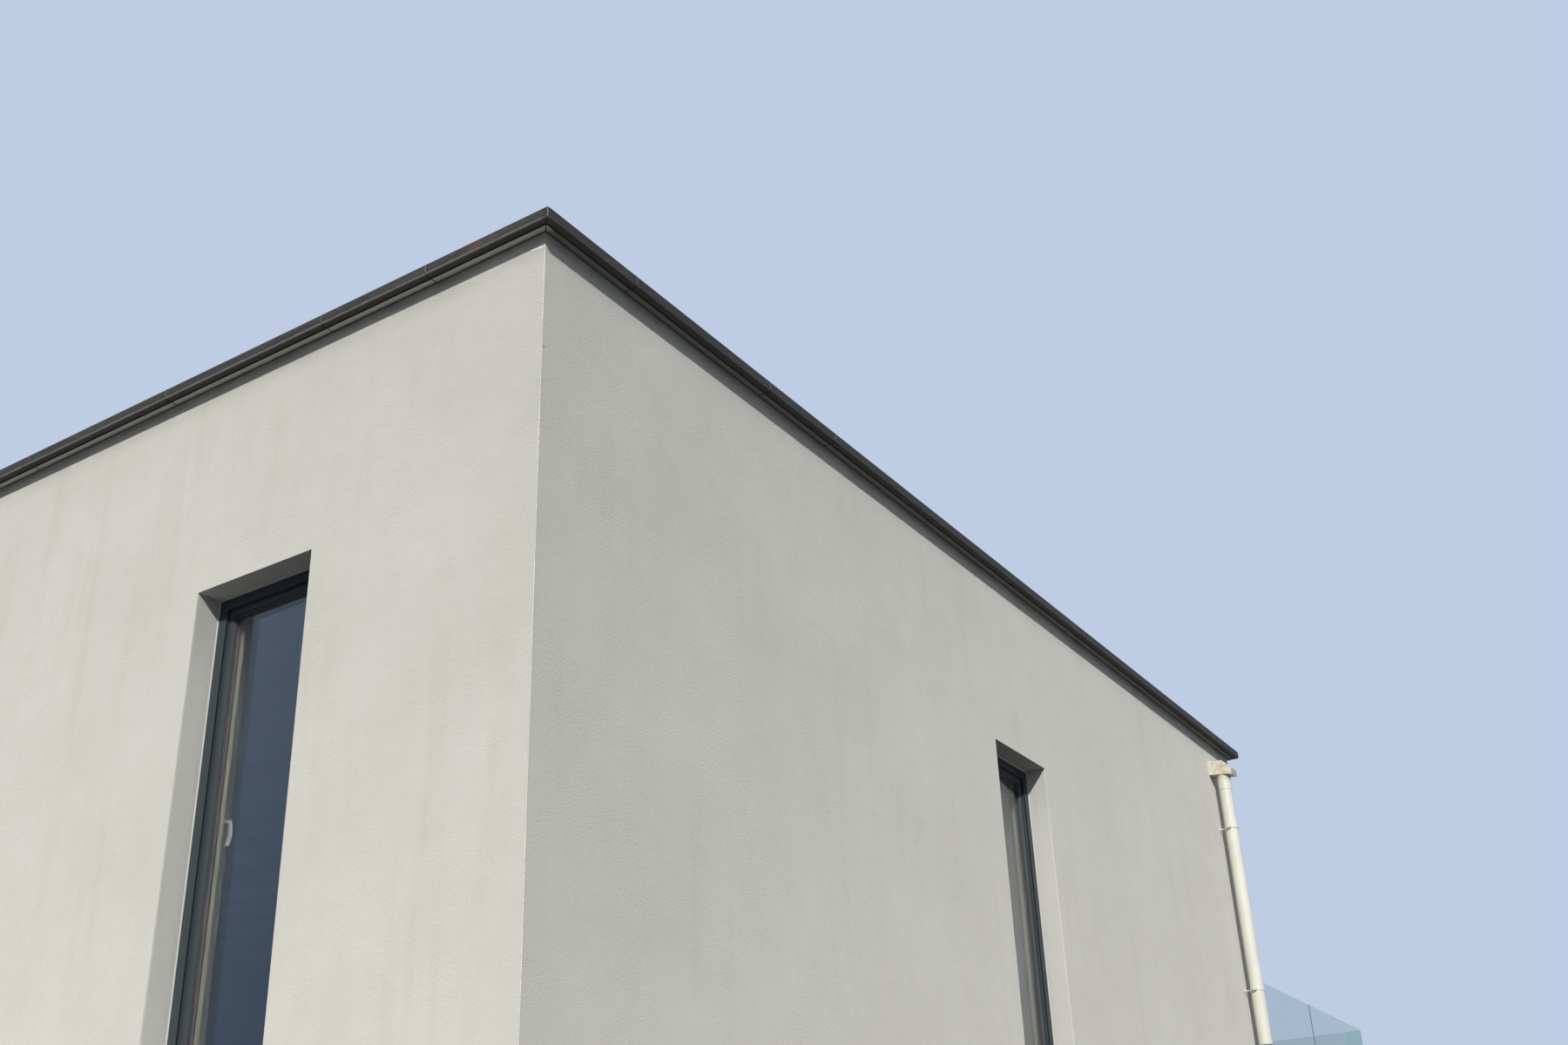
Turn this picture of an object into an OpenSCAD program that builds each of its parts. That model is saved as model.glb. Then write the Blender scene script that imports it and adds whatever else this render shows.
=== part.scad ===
// Detached house of two storeys with rendered walls, a flat roof behind a parapet
// with a stone coping, tall narrow windows and a roof terrace at the back.
// +Z is up and +X runs to the right along the front wall. The origin lies on the
// ground under the middle of the plan.

/* [House] */
// Length of the front wall
house_w = 8900; // [7400:10:10700]
// Depth of the upper storey
house_d = 8050; // [6700:10:9700]
// Depth of the terrace behind the upper storey
terrace_d = 3350; // [2700:10:4100]
// Height from one finished floor to the next
storey_h = 2650; // [2500:10:3200]
// Thickness of an outer wall
wall_t = 300; // [270:5:360]
// Thickness of the ground floor, and so its height above the ground
ground_floor_t = 150; // [120:5:200]
// Thickness of the first floor
first_floor_t = 250; // [200:5:300]

/* [Roof] */
// Height of the parapet's top above the upper window heads
parapet_rise = 1052; // [870:1:1270]
// Depth of the roof surface below the parapet's top
roof_drop = 259; // [210:1:320]
// Thickness of the insulation and membrane on the roof
roof_cover_t = 130; // [100:1:160]
// Thickness of the roof slab
roof_slab_t = 250; // [200:1:300]

/* [Coping] */
// Thickness of a coping stone at its outer face
coping_t = 52; // [43:1:63]
// Overhang of the coping outside the wall
coping_over = 74; // [60:1:90]
// Overhang of the coping inside the parapet
coping_inner = 40; // [35:1:50]
// Fall of the coping's top towards the roof
coping_fall = 6; // [3:1:10]
// Width of the drip groove under each overhang
drip_w = 10; // [8:1:12]
// Depth of the drip groove
drip_d = 9; // [6:1:12]
// Distance from the coping's edge to the drip groove
drip_in = 30; // [24:1:36]
// Chamfer of the coping's outer edges
coping_chamfer = 4; // [3:1:7]
// Length of a coping stone
stone_l = 1020; // [850:1:1230]
// Length of the front coping's stone at the near corner
front_corner_stone = 585; // [480:1:700]
// Length of the cut stone after it
front_cut_stone = 612; // [500:1:740]
// Length of the side coping's stone at the near corner
side_corner_stone = 503; // [410:1:610]
// Length of the side coping's cut stone
side_cut_stone = 585; // [480:1:700]
// Width of the mortar joint between two stones
stone_joint = 6; // [5:1:8]

/* [Windows] */
// Width of a window opening in the front and back walls
front_window_w = 690; // [560:5:830]
// Width of a window opening in the side walls
side_window_w = 640; // [530:5:770]
// Height of a window opening
window_h = 2150; // [1790:10:2250]
// Height of a window sill above its floor
sill_up = 77; // [64:1:93]
// Distance from a corner to the nearest window opening in the front wall
window_from_corner = 1200; // [1000:10:1440]
// Distance from the near corner to the middle of the side window
side_window_at = 4135; // [3450:5:4900]
// Depth of the outer reveal, from the wall face to the frame
reveal_d = 120; // [100:1:130]
// Width of the outer frame's face
frame_w = 57; // [47:1:68]
// Bevel of the outer frame's inner edge
frame_bevel = 5; // [4:0.5:6]
// Width of the sash that shows inside the outer frame
sash_w = 30; // [25:1:36]
// Splay of the sash's glazing bead towards the outside
bead_splay = 8; // [6:0.5:10]
// Thickness of the sash, from its outer face to the room
sash_t = 66; // [55:1:79]
// Thickness of the sealed glass unit
pane_t = 24; // [20:1:28]

/* [Doors] */
// Width of a door opening
door_w = 1000; // [900:5:1100]
// Thickness of the entrance door leaf
leaf_t = 56; // [46:1:66]

/* [Terrace] */
// Height of the kerb wall above the first floor
kerb_h = 500; // [400:5:600]
// Height of the glass above the kerb's coping
glass_h = 1095; // [915:5:1315]
// Thickness of the balustrade glass
glass_t = 18; // [14:1:22]
// Gap between two glass panels
glass_gap = 12; // [10:1:14]
// Gap between the glass and the upper back wall
glass_end_gap = 120; // [100:1:144]
// Height of the channel that holds the glass
channel_h = 110; // [90:1:130]
// Thickness of one side of the channel
channel_side = 22; // [18:1:26]
// Thickness of the terrace paving
paving_t = 50; // [40:1:60]

/* [Rainwater] */
// Radius of the downpipe
pipe_r = 47; // [39:0.5:57]
// Wall of the downpipe, the socket and the outlet box
pipe_wall = 3; // [2.5:0.5:4]
// Distance from the wall to the downpipe's axis
pipe_off = 89; // [74:1:107]
// Distance from the house's back corner to the downpipe's axis
pipe_from_corner = 450; // [380:5:540]
// Length of the socket at the pipe's top
socket_l = 98; // [80:1:118]
// Distance from the socket's foot down to the middle of the first bracket
bracket_drop = 289; // [240:1:347]
// Distance between the first two brackets
bracket_gap = 1176; // [980:1:1411]
// Distance between the brackets below them
bracket_pitch = 1900; // [1580:10:2280]
// Distance from the second bracket's middle down to the collar
collar_drop = 380; // [316:1:456]
// Height of the collar
collar_h = 57; // [47:1:68]
// Reach of the outlet box from the wall
box_reach = 175; // [160:1:200]
// Reach of the outlet box's top before it slopes down
box_flat = 108; // [90:1:130]
// Height of the outlet box at the wall
box_h = 104; // [90:1:124]
// Height of the outlet box's front lip
box_lip = 46; // [38:1:55]
// Gap between the downpipe and the sides of the outlet box
box_clear = 1.5; // [1:0.5:4]
// Fall of the outlet box's floor towards its lip
box_fall = 22; // [16:1:26]

/* [Hidden] */

// Levels
first_floor_z = ground_floor_t + storey_h;
ceiling_z = first_floor_z - first_floor_t;
lower_sill_z = ground_floor_t + sill_up;
upper_sill_z = first_floor_z + sill_up;
wall_top_z = upper_sill_z + window_h + parapet_rise;
roof_z = wall_top_z - roof_drop;
roof_slab_z = roof_z - roof_cover_t - roof_slab_t;
kerb_top_z = first_floor_z + kerb_h;

// Plan: the outer faces of the walls
right_x = house_w / 2;
front_y = -(house_d + terrace_d) / 2;
back_y = front_y + house_d;
rear_y = -front_y;

// Windows: places along each wall, seen from outside, to the right of its middle
front_window_x = right_x - window_from_corner - front_window_w / 2;
side_window_y = front_y + side_window_at;
// Depths through the wall, from its outer face
lip_t = 15;
frame_t = 70;
frame_back = reveal_d + frame_t;
// Frame behind the lip, with the gap the sash moves in
rebate_w = 30;
sash_gap = 3;
sash_front = reveal_d + lip_t;
sash_back = sash_front + sash_t;
sash_edge = rebate_w + sash_gap;
bead_t = 15;
pane_cover = 12;
pane_front = sash_front + bead_t;
glazed_edge = frame_w + sash_w;
cut = 1;

// Handles
handle_h = 1180;
rose_w = 30;
rose_h = 70;
door_plate_h = 220;
door_handle_h = 1050;
rose_t = 9;
neck_r = 7;
neck_l = 39;
grip_w = 16;
grip_t = 9;
grip_l = 99;
grip_over = 12;
grip_bow = 12;

// Sills: the sheet, its nose and drip, and the raised ends against the reveals
sill_nose = 35;
sill_rise = 16;
sill_edge = 14;
sill_drop = 12;
sheet_t = 3;
sill_end_t = 5;
sill_end_h = 22;

// Rainwater goods: the box covers the outlet's foot and head, and the pipe ends in it
clear = 0.3;
pipe_y = back_y - pipe_from_corner;
box_foot = 14;
box_head = 10;
box_crown = 10;
box_w = 2 * (pipe_r + box_clear + pipe_wall);
box_z = roof_z - box_foot;
outlet_w = box_w - 2 * pipe_wall;
outlet_h = box_h - box_foot - box_head;
pipe_in_box = 20;
pipe_top_z = box_z + pipe_in_box;
socket_gap = 2;
socket_t = 2;
socket_r = pipe_r + socket_t;
socket_top_z = box_z - box_fall - socket_gap;
collar_t = 1;

// Pipe brackets: a clip ring with two ears, a rod and a plate on the wall
clip_t = 3;
clip_h = 22;
ear_out = 17;
ear_w = 18;
ear_l = 24;
rod_r = 5;
plate_r = 16;
plate_t = 4;
lowest_bracket = 150;
upper_bracket_z = socket_top_z - socket_l - bracket_drop;
lower_bracket_z = upper_bracket_z - bracket_gap;
collar_z = lower_bracket_z - collar_drop;

render_colour = [0.83, 0.82, 0.77];
stone_colour = [0.30, 0.29, 0.27];
frame_colour = [0.17, 0.20, 0.23];
glass_colour = [0.55, 0.66, 0.74, 0.5];
metal_colour = [0.70, 0.71, 0.72];
pipe_colour = [0.88, 0.87, 0.82];

// Each wall is drawn as seen from outside: X to the right, Y into the wall.
module on_front() { translate([0, front_y, 0]) children(); }
module on_right() { translate([right_x, 0, 0]) rotate([0, 0, 90]) children(); }
module on_left() { translate([-right_x, 0, 0]) rotate([0, 0, -90]) children(); }
module on_upper_back() { translate([0, back_y, 0]) rotate([0, 0, 180]) children(); }
module on_lower_back() { translate([0, rear_y, 0]) rotate([0, 0, 180]) children(); }

// Window places on one wall: [x, z of the sill, width]
upper_row = [for (x = [-front_window_x, 0, front_window_x]) [x, upper_sill_z, front_window_w]];
lower_row = [for (w = upper_row) [w[0], lower_sill_z, w[2]]];
front_windows = concat(upper_row, [lower_row[0], lower_row[2]]);
right_windows = [for (z = [upper_sill_z, lower_sill_z]) [side_window_y, z, side_window_w]];
left_windows = [for (w = right_windows) [-w[0], w[1], w[2]]];
upper_back_windows = [upper_row[0], upper_row[2]];
lower_back_windows = lower_row;
front_door_h = lower_sill_z + window_h - ground_floor_t;

// A box from one corner, w along the wall, d into it and h up, centred on x
module wall_box(x, y, z, w, d, h) {
    translate([x - w / 2, y, z]) cube([w, d, h]);
}

// Plan of a wall between two outer corners of the house, mitred at both
module wall_plan(x0, x1) {
    polygon([[x0, 0], [x1, 0], [x1 - wall_t, wall_t], [x0 + wall_t, wall_t]]);
}

module standing(z0, z1) { translate([0, 0, z0]) linear_extrude(z1 - z0) children(); }

// The openings of a list of windows
module window_holes(windows) {
    for (w = windows) wall_box(w[0], -cut, w[1], w[2], wall_t + 2 * cut, window_h);
}

// A rectangular ring that stands in an opening, from depth y0 to y1
module ring(w, h, outer, inner, y0, y1) {
    difference() {
        wall_box(0, y0, outer, w - 2 * outer, y1 - y0, h - 2 * outer);
        wall_box(0, y0 - cut, inner, w - 2 * inner, y1 - y0 + 2 * cut, h - 2 * inner);
    }
}

// Cut that splays a ring's inner edge, from nothing at depth y1 to its full width at y0
module splay(w, h, inner, width, y0, y1) {
    over = width * (1 + cut / (y1 - y0));
    side = w / 2 - inner;
    intersection() {
        linear_extrude(h) polygon([
            [-side - over, y0 - cut], [side + over, y0 - cut], [side, y1], [-side, y1]
        ]);
        translate([-w / 2, 0, 0]) rotate([90, 0, 90]) linear_extrude(w) polygon([
            [y0 - cut, inner - over], [y0 - cut, h - inner + over], [y1, h - inner], [y1, inner]
        ]);
    }
}

// Outer frame: a front lip with a bevelled edge and a slimmer rebate behind it for the sash
module frame(w, h) {
    difference() {
        union() {
            ring(w, h, 0, frame_w, reveal_d, sash_front);
            ring(w, h, 0, rebate_w, sash_front, frame_back);
        }
        splay(w, h, frame_w, frame_bevel, reveal_d, reveal_d + frame_bevel);
    }
}

// Sash: closes against the lip, with a splayed bead and a groove for the sealed unit
module sash(w, h) {
    difference() {
        ring(w, h, sash_edge, glazed_edge, sash_front, sash_back);
        splay(w, h, glazed_edge, bead_splay, sash_front, pane_front);
        wall_box(0, pane_front, glazed_edge - pane_cover,
                 w - 2 * (glazed_edge - pane_cover), pane_t, h - 2 * (glazed_edge - pane_cover));
    }
}

// Sealed glass unit, held in the sash's groove
module pane(w, h) {
    edge = glazed_edge - pane_cover + sash_gap;
    wall_box(0, pane_front, edge, w - 2 * edge, pane_t, h - 2 * edge);
}

// Folded metal sill that falls outward, drips clear of the wall and turns up at both ends
module sill(w) {
    union() {
        sill_length(-w / 2, w) polygon([
            [-sill_nose, -sill_drop], [-sill_nose, sill_edge], [reveal_d, sill_edge + sill_rise],
            [reveal_d, 0], [sheet_t - sill_nose, 0], [sheet_t - sill_nose, -sill_drop]
        ]);
        for (x = [-w / 2, w / 2 - sill_end_t]) sill_length(x, sill_end_t) polygon([
            [-sill_nose, 0], [-sill_nose, sill_edge + sill_end_h],
            [reveal_d, sill_edge + sill_rise + sill_end_h], [reveal_d, 0]
        ]);
    }
}

// A length along the sill of a profile drawn from its side
module sill_length(x, l) { translate([x, 0, 0]) rotate([90, 0, 90]) linear_extrude(l) children(); }

// Handle: a plate, a neck and a bowed grip, which hangs down unless it is turned
module handle(plate_h, turn) {
    translate([-rose_w / 2, 0, -plate_h / 2]) cube([rose_w, rose_t, plate_h]);
    translate([0, rose_t, 0]) rotate([-90, 0, 0]) cylinder(h = neck_l, r = neck_r, $fn = 12);
    rotate([0, turn, 0]) translate([-grip_w / 2, rose_t + neck_l, 0])
        rotate([90, 0, 90]) linear_extrude(grip_w) grip_profile();
}

// The grip from its side: a bow of even thickness that curves away from the plate
module grip_profile() {
    half = (grip_l + grip_over) / 2;
    bow_r = (half * half + grip_bow * grip_bow) / (2 * grip_bow);
    intersection() {
        translate([grip_bow - bow_r, grip_over - half]) difference() {
            circle(r = bow_r + grip_t / 2, $fn = 180);
            circle(r = bow_r - grip_t / 2, $fn = 180);
        }
        translate([-neck_l, -grip_l]) square([neck_l + 2 * grip_bow, grip_l + grip_over]);
    }
}

module frames(windows) { for (w = windows) translate([w[0], 0, w[1]]) frame(w[2], window_h); }
module sashes(windows) { for (w = windows) translate([w[0], 0, w[1]]) sash(w[2], window_h); }
module panes(windows) { for (w = windows) translate([w[0], 0, w[1]]) pane(w[2], window_h); }
module sills(windows) { for (w = windows) translate([w[0], 0, w[1]]) sill(w[2]); }
module handles(windows) {
    for (w = windows)
        translate([w[0] - w[2] / 2 + (sash_edge + glazed_edge) / 2, sash_back, w[1] + handle_h])
            handle(rose_h, 0);
}

// Walls
module front_wall() {
    color(render_colour) on_front() difference() {
        standing(0, wall_top_z) wall_plan(-right_x, right_x);
        window_holes(front_windows);
        wall_box(0, -cut, ground_floor_t, door_w, wall_t + 2 * cut, front_door_h);
    }
}

// A side wall: as high as the kerb along the terrace, and full height before it
module side_wall(windows, front, back, rear) {
    difference() {
        union() {
            standing(0, kerb_top_z) wall_plan(min(front, rear), max(front, rear));
            standing(0, wall_top_z) wall_plan(min(front, back), max(front, back));
        }
        window_holes(windows);
        children();
    }
}

module right_wall() {
    color(render_colour) on_right() side_wall(right_windows, front_y, back_y, rear_y)
        wall_box(pipe_y, -cut, roof_z, outlet_w, wall_t + 2 * cut, outlet_h);
}

module left_wall() {
    color(render_colour) on_left() side_wall(left_windows, -front_y, -back_y, -rear_y);
}

module upper_back_wall() {
    color(render_colour) on_upper_back() difference() {
        union() {
            wall_box(0, 0, first_floor_z, house_w - 2 * wall_t, wall_t, wall_top_z - first_floor_z);
            standing(kerb_top_z, wall_top_z) wall_plan(-right_x, right_x);
        }
        window_holes(upper_back_windows);
        wall_box(0, -cut, upper_sill_z, door_w, wall_t + 2 * cut, window_h);
    }
}

module lower_back_wall() {
    color(render_colour) on_lower_back() difference() {
        standing(0, kerb_top_z) wall_plan(-right_x, right_x);
        window_holes(lower_back_windows);
    }
}

// A floor or roof layer between the walls, from y0 to y1
module layer(y0, y1, z, t) {
    translate([wall_t - right_x, y0, z]) cube([house_w - 2 * wall_t, y1 - y0, t]);
}

module ground_floor() {
    color("gray") layer(front_y + wall_t, rear_y - wall_t, 0, ground_floor_t);
}

module first_floor() {
    color("gray") layer(front_y + wall_t, rear_y - wall_t, ceiling_z, first_floor_t);
}

module roof_slab() {
    color("gray") layer(front_y + wall_t, back_y - wall_t, roof_slab_z, roof_slab_t);
}

module roof_cover() {
    color("dimgray") layer(front_y + wall_t, back_y - wall_t, roof_z - roof_cover_t, roof_cover_t);
}

module terrace_paving() {
    color("silver") layer(back_y, rear_y - wall_t, first_floor_z, paving_t);
}

// Coping profile across the wall: X into the wall from its outer face, Y up
module coping_profile() {
    out = -coping_over;
    in = wall_t + coping_inner;
    difference() {
        polygon([
            [out + coping_chamfer, 0], [out, coping_chamfer], [out, coping_t - coping_chamfer],
            [out + coping_chamfer, coping_t], [in - coping_chamfer, coping_t - coping_fall],
            [in, coping_t - coping_fall - coping_chamfer], [in, 0]
        ]);
        translate([out + drip_in, -cut]) square([drip_w, drip_d + cut]);
        translate([wall_t + (coping_inner - drip_w) / 2, -cut]) square([drip_w, drip_d + cut]);
    }
}

// Sum of a list's first n lengths
function total(lengths, n) = n == 0 ? 0 : lengths[n - 1] + total(lengths, n - 1);

// Distances of a run's joints from its first corner: cut stones, then whole ones
function joints(cut_stones, run) = let (laid = total(cut_stones, len(cut_stones))) concat(
    [for (n = [1:len(cut_stones)]) total(cut_stones, n)],
    [for (d = [laid + stone_l:stone_l:run - stone_l / 3]) d]
);

// A list from its last value to its first
function reversed(list) = [for (i = [len(list) - 1:-1:0]) list[i]];

// Stones between the cuts, with half a joint left free at each side of a cut
module coping_stones(cuts) {
    for (i = [1:len(cuts) - 1])
        translate([cuts[i - 1] + stone_joint / 2, 0, 0]) rotate([90, 0, 90])
            linear_extrude(cuts[i] - cuts[i - 1] - stone_joint) coping_profile();
}

// Plan of a run between two corners, 1 where it is mitred and 0 where it is square
module mitre_plan(x0, x1, mitre0, mitre1) {
    depth = wall_t + coping_inner + cut;
    out = coping_over + cut;
    half = stone_joint / 2;
    polygon([
        [x0 - mitre0 * out + half, -out], [x1 + mitre1 * out - half, -out],
        [x1 - mitre1 * depth - half, depth], [x0 + mitre0 * depth + half, depth]
    ]);
}

// One run of coping between two corners of the wall, with its joints between them
module coping_run(x0, x1, places, mitre0 = 1, mitre1 = 1) {
    intersection() {
        coping_stones(concat([x0 - mitre0 * coping_over], places, [x1 + mitre1 * coping_over]));
        translate([0, 0, -cut]) linear_extrude(coping_t + 2 * cut) mitre_plan(x0, x1, mitre0, mitre1);
    }
}

front_joints = joints([front_corner_stone, front_cut_stone], house_w);
side_joints = joints([side_corner_stone, stone_l, side_cut_stone], house_d);
kerb_joints = joints([stone_l], terrace_d + stone_l / 3);

module front_run() { coping_run(-right_x, right_x, reversed([for (d = front_joints) right_x - d])); }
module back_run() { coping_run(-right_x, right_x, [for (d = front_joints) d - right_x]); }
module right_run() { coping_run(front_y, back_y, [for (d = side_joints) front_y + d]); }
module left_run() { coping_run(-back_y, -front_y, reversed([for (d = side_joints) -front_y - d])); }
module right_kerb_run() { coping_run(back_y, rear_y, reversed([for (d = kerb_joints) rear_y - d]), 0, 1); }
module left_kerb_run() { coping_run(-rear_y, -back_y, [for (d = kerb_joints) d - rear_y], 1, 0); }

module on_parapet() { translate([0, 0, wall_top_z]) children(); }
module on_kerb() { translate([0, 0, kerb_top_z]) children(); }

module front_coping() { color(stone_colour) on_parapet() on_front() front_run(); }
module right_coping() { color(stone_colour) on_parapet() on_right() right_run(); }
module back_coping() { color(stone_colour) on_parapet() on_upper_back() back_run(); }
module left_coping() { color(stone_colour) on_parapet() on_left() left_run(); }

// The terrace coping runs up to the upper back wall on both sides
module terrace_coping() {
    color(stone_colour) on_kerb() {
        on_lower_back() back_run();
        on_right() right_kerb_run();
        on_left() left_kerb_run();
    }
}

// Windows
module front_window_frames() { color(frame_colour) on_front() frames(front_windows); }
module right_window_frames() { color(frame_colour) on_right() frames(right_windows); }
module left_window_frames() { color(frame_colour) on_left() frames(left_windows); }
module back_window_frames() {
    color(frame_colour) {
        on_upper_back() frames(upper_back_windows);
        on_lower_back() frames(lower_back_windows);
    }
}

module front_window_sashes() { color(frame_colour) on_front() sashes(front_windows); }
module right_window_sashes() { color(frame_colour) on_right() sashes(right_windows); }
module left_window_sashes() { color(frame_colour) on_left() sashes(left_windows); }
module back_window_sashes() {
    color(frame_colour) {
        on_upper_back() sashes(upper_back_windows);
        on_lower_back() sashes(lower_back_windows);
    }
}

module front_window_panes() { color(glass_colour) on_front() panes(front_windows); }
module right_window_panes() { color(glass_colour) on_right() panes(right_windows); }
module left_window_panes() { color(glass_colour) on_left() panes(left_windows); }
module back_window_panes() {
    color(glass_colour) {
        on_upper_back() panes(upper_back_windows);
        on_lower_back() panes(lower_back_windows);
    }
}

module window_sills() {
    color(metal_colour) {
        on_front() sills(front_windows);
        on_right() sills(right_windows);
        on_left() sills(left_windows);
        on_lower_back() sills(lower_back_windows);
        on_upper_back() {
            sills(upper_back_windows);
            translate([0, 0, upper_sill_z]) sill(door_w);
        }
    }
}

module window_handles() {
    color(metal_colour) {
        on_front() handles(front_windows);
        on_right() handles(right_windows);
        on_left() handles(left_windows);
        on_lower_back() handles(lower_back_windows);
        on_upper_back() handles(upper_back_windows);
    }
}

// Entrance door: the frame has no bottom bar, and the leaf closes on the floor
module entrance_frame() {
    color(frame_colour) on_front() translate([0, 0, ground_floor_t]) difference() {
        frame(door_w, front_door_h);
        wall_box(0, 0, -cut, door_w - 2 * frame_w, sash_front, frame_w + 2 * cut);
        wall_box(0, sash_front, -cut, door_w - 2 * rebate_w, wall_t, frame_w + 2 * cut);
    }
}

module entrance_leaf() {
    color(frame_colour) on_front()
        wall_box(0, sash_front, ground_floor_t, door_w - 2 * sash_edge, leaf_t, front_door_h - sash_edge);
}

module terrace_door_frame() {
    color(frame_colour) on_upper_back() translate([0, 0, upper_sill_z]) frame(door_w, window_h);
}

module terrace_door_leaf() {
    color(frame_colour) on_upper_back() translate([0, 0, upper_sill_z]) sash(door_w, window_h);
}

module terrace_door_pane() {
    color(glass_colour) on_upper_back() translate([0, 0, upper_sill_z]) pane(door_w, window_h);
}

module door_handles() {
    handle_x = glazed_edge + rose_w / 2 - door_w / 2;
    color(metal_colour) {
        on_front() {
            translate([handle_x, sash_front + leaf_t, ground_floor_t + door_handle_h])
                handle(door_plate_h, -90);
            translate([handle_x, sash_front, ground_floor_t + door_handle_h])
                mirror([0, 1, 0]) handle(door_plate_h, -90);
        }
        on_upper_back() translate([handle_x, sash_back, upper_sill_z + handle_h]) handle(rose_h, 0);
    }
}

// Balustrade: three runs on the middle of the kerb, bedded just clear of the sloping stones
glass_line = wall_t / 2;
channel_w = glass_t + 2 * channel_side;
glass_base_z = kerb_top_z + coping_t;
side_run_0 = back_y + glass_end_gap;
side_run_1 = rear_y - glass_line;
bed_gap = 0.3;

module balustrade_plan(w, ends) {
    back_half = right_x - glass_line;
    for (side = [-1, 1])
        translate([side * back_half - w / 2, side_run_0 - ends])
            square([w, side_run_1 - side_run_0 + w / 2 + ends]);
    translate([-back_half, side_run_1 - w / 2]) square([2 * back_half, w]);
}

module balustrade_channel() {
    color(metal_colour) difference() {
        translate([0, 0, glass_base_z - coping_fall]) linear_extrude(channel_h + coping_fall)
            balustrade_plan(channel_w, 0);
        translate([0, 0, glass_base_z + channel_side]) linear_extrude(channel_h)
            balustrade_plan(glass_t, 2 * glass_gap);
        side_bed();
        mirror([1, 0, 0]) side_bed();
        rear_bed();
    }
}

// What a stone's sloping top takes out of the channel's foot, as seen along the run: X out
// of the house from the glass, Y up from the height of the stone's outer edge
module bed_profile() {
    slope = coping_fall / (wall_t + coping_inner + coping_over - 2 * coping_chamfer);
    top = bed_gap - slope * (glass_line + coping_over - coping_chamfer);
    polygon([
        [channel_w, top + slope * channel_w], [-channel_w, top - slope * channel_w],
        [-channel_w, -2 * coping_fall], [channel_w, -2 * coping_fall]
    ]);
}

module side_bed() {
    translate([right_x - glass_line, rear_y, glass_base_z]) rotate([90, 0, 0])
        linear_extrude(rear_y - back_y + cut) bed_profile();
}

module rear_bed() {
    translate([-right_x, side_run_1, glass_base_z]) rotate([90, 0, 90])
        linear_extrude(house_w) bed_profile();
}

module glass_panels(length, count, z) {
    panel = (length - (count - 1) * glass_gap) / count;
    for (i = [0:count - 1])
        translate([i * (panel + glass_gap), -glass_t / 2, z])
            cube([panel, glass_t, glass_h - channel_side]);
}

module balustrade_glass() {
    side_l = side_run_1 - side_run_0 - glass_t / 2 - glass_gap;
    back_l = house_w - wall_t - glass_t;
    color(glass_colour) {
        for (side = [-1, 1])
            translate([side * (right_x - glass_line), side_run_0, 0]) rotate([0, 0, 90])
                glass_panels(side_l, 2, glass_base_z + channel_side);
        translate([-back_l / 2, side_run_1, 0]) glass_panels(back_l, 5, glass_base_z + channel_side);
    }
}

// Outlet box, drawn across the wall: X out from the wall, Y up
module box_outline(inset) {
    polygon([
        [0, inset], [box_reach - inset, inset - box_fall],
        [box_reach - inset, box_lip - box_fall - inset / 2],
        [box_flat - inset / 2, box_h - box_crown - inset], [0, box_h - inset]
    ]);
}

module outlet_box() {
    color(pipe_colour) difference() {
        translate([right_x, pipe_y + box_w / 2, box_z]) rotate([90, 0, 0])
            linear_extrude(box_w) box_outline(0);
        translate([right_x - cut, pipe_y + box_w / 2 - pipe_wall, box_z]) rotate([90, 0, 0])
            linear_extrude(outlet_w) box_outline(pipe_wall);
        translate([right_x + pipe_off, pipe_y, box_z - box_fall - 2 * cut])
            cylinder(h = box_fall + 2 * pipe_wall + 4 * cut, r = pipe_r + clear, $fn = 48);
    }
}

module downpipe() {
    color(pipe_colour) translate([right_x + pipe_off, pipe_y, 0]) difference() {
        union() {
            cylinder(h = pipe_top_z, r = pipe_r, $fn = 48);
            translate([0, 0, socket_top_z - socket_l]) cylinder(h = socket_l, r = socket_r, $fn = 48);
        }
        translate([0, 0, -cut]) cylinder(h = pipe_top_z + 2 * cut, r = pipe_r - pipe_wall, $fn = 48);
    }
}

// Clip ring with two ears, on a rod that holds it off the wall
module bracket() {
    difference() {
        union() {
            translate([0, 0, -clip_h / 2]) cylinder(h = clip_h, r = pipe_r + clear + clip_t, $fn = 48);
            translate([-pipe_off, 0, 0]) rotate([0, 90, 0]) {
                cylinder(h = pipe_off, r = rod_r, $fn = 24);
                cylinder(h = plate_t, r = plate_r, $fn = 32);
            }
            for (side = [-1, 1]) ear(side);
        }
        translate([0, 0, -clip_h]) cylinder(h = 2 * clip_h, r = pipe_r + clear, $fn = 48);
    }
}

module ear(side) {
    middle = side * (pipe_r + ear_out - ear_w / 2);
    translate([-ear_l / 2, middle - ear_w / 2, -clip_h / 2]) cube([ear_l, ear_w, clip_h]);
}

// Two brackets at their own places under the socket, then a regular row down to the ground
module pipe_brackets() {
    levels = [upper_bracket_z, for (z = [lower_bracket_z:-bracket_pitch:lowest_bracket]) z];
    color(pipe_colour) for (z = levels) translate([right_x + pipe_off, pipe_y, z]) bracket();
}

module pipe_collar() {
    color("dimgray") translate([right_x + pipe_off, pipe_y, collar_z - collar_h]) difference() {
        cylinder(h = collar_h, r = pipe_r + clear + collar_t, $fn = 48);
        translate([0, 0, -cut]) cylinder(h = collar_h + 2 * cut, r = pipe_r + clear, $fn = 48);
    }
}

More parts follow.
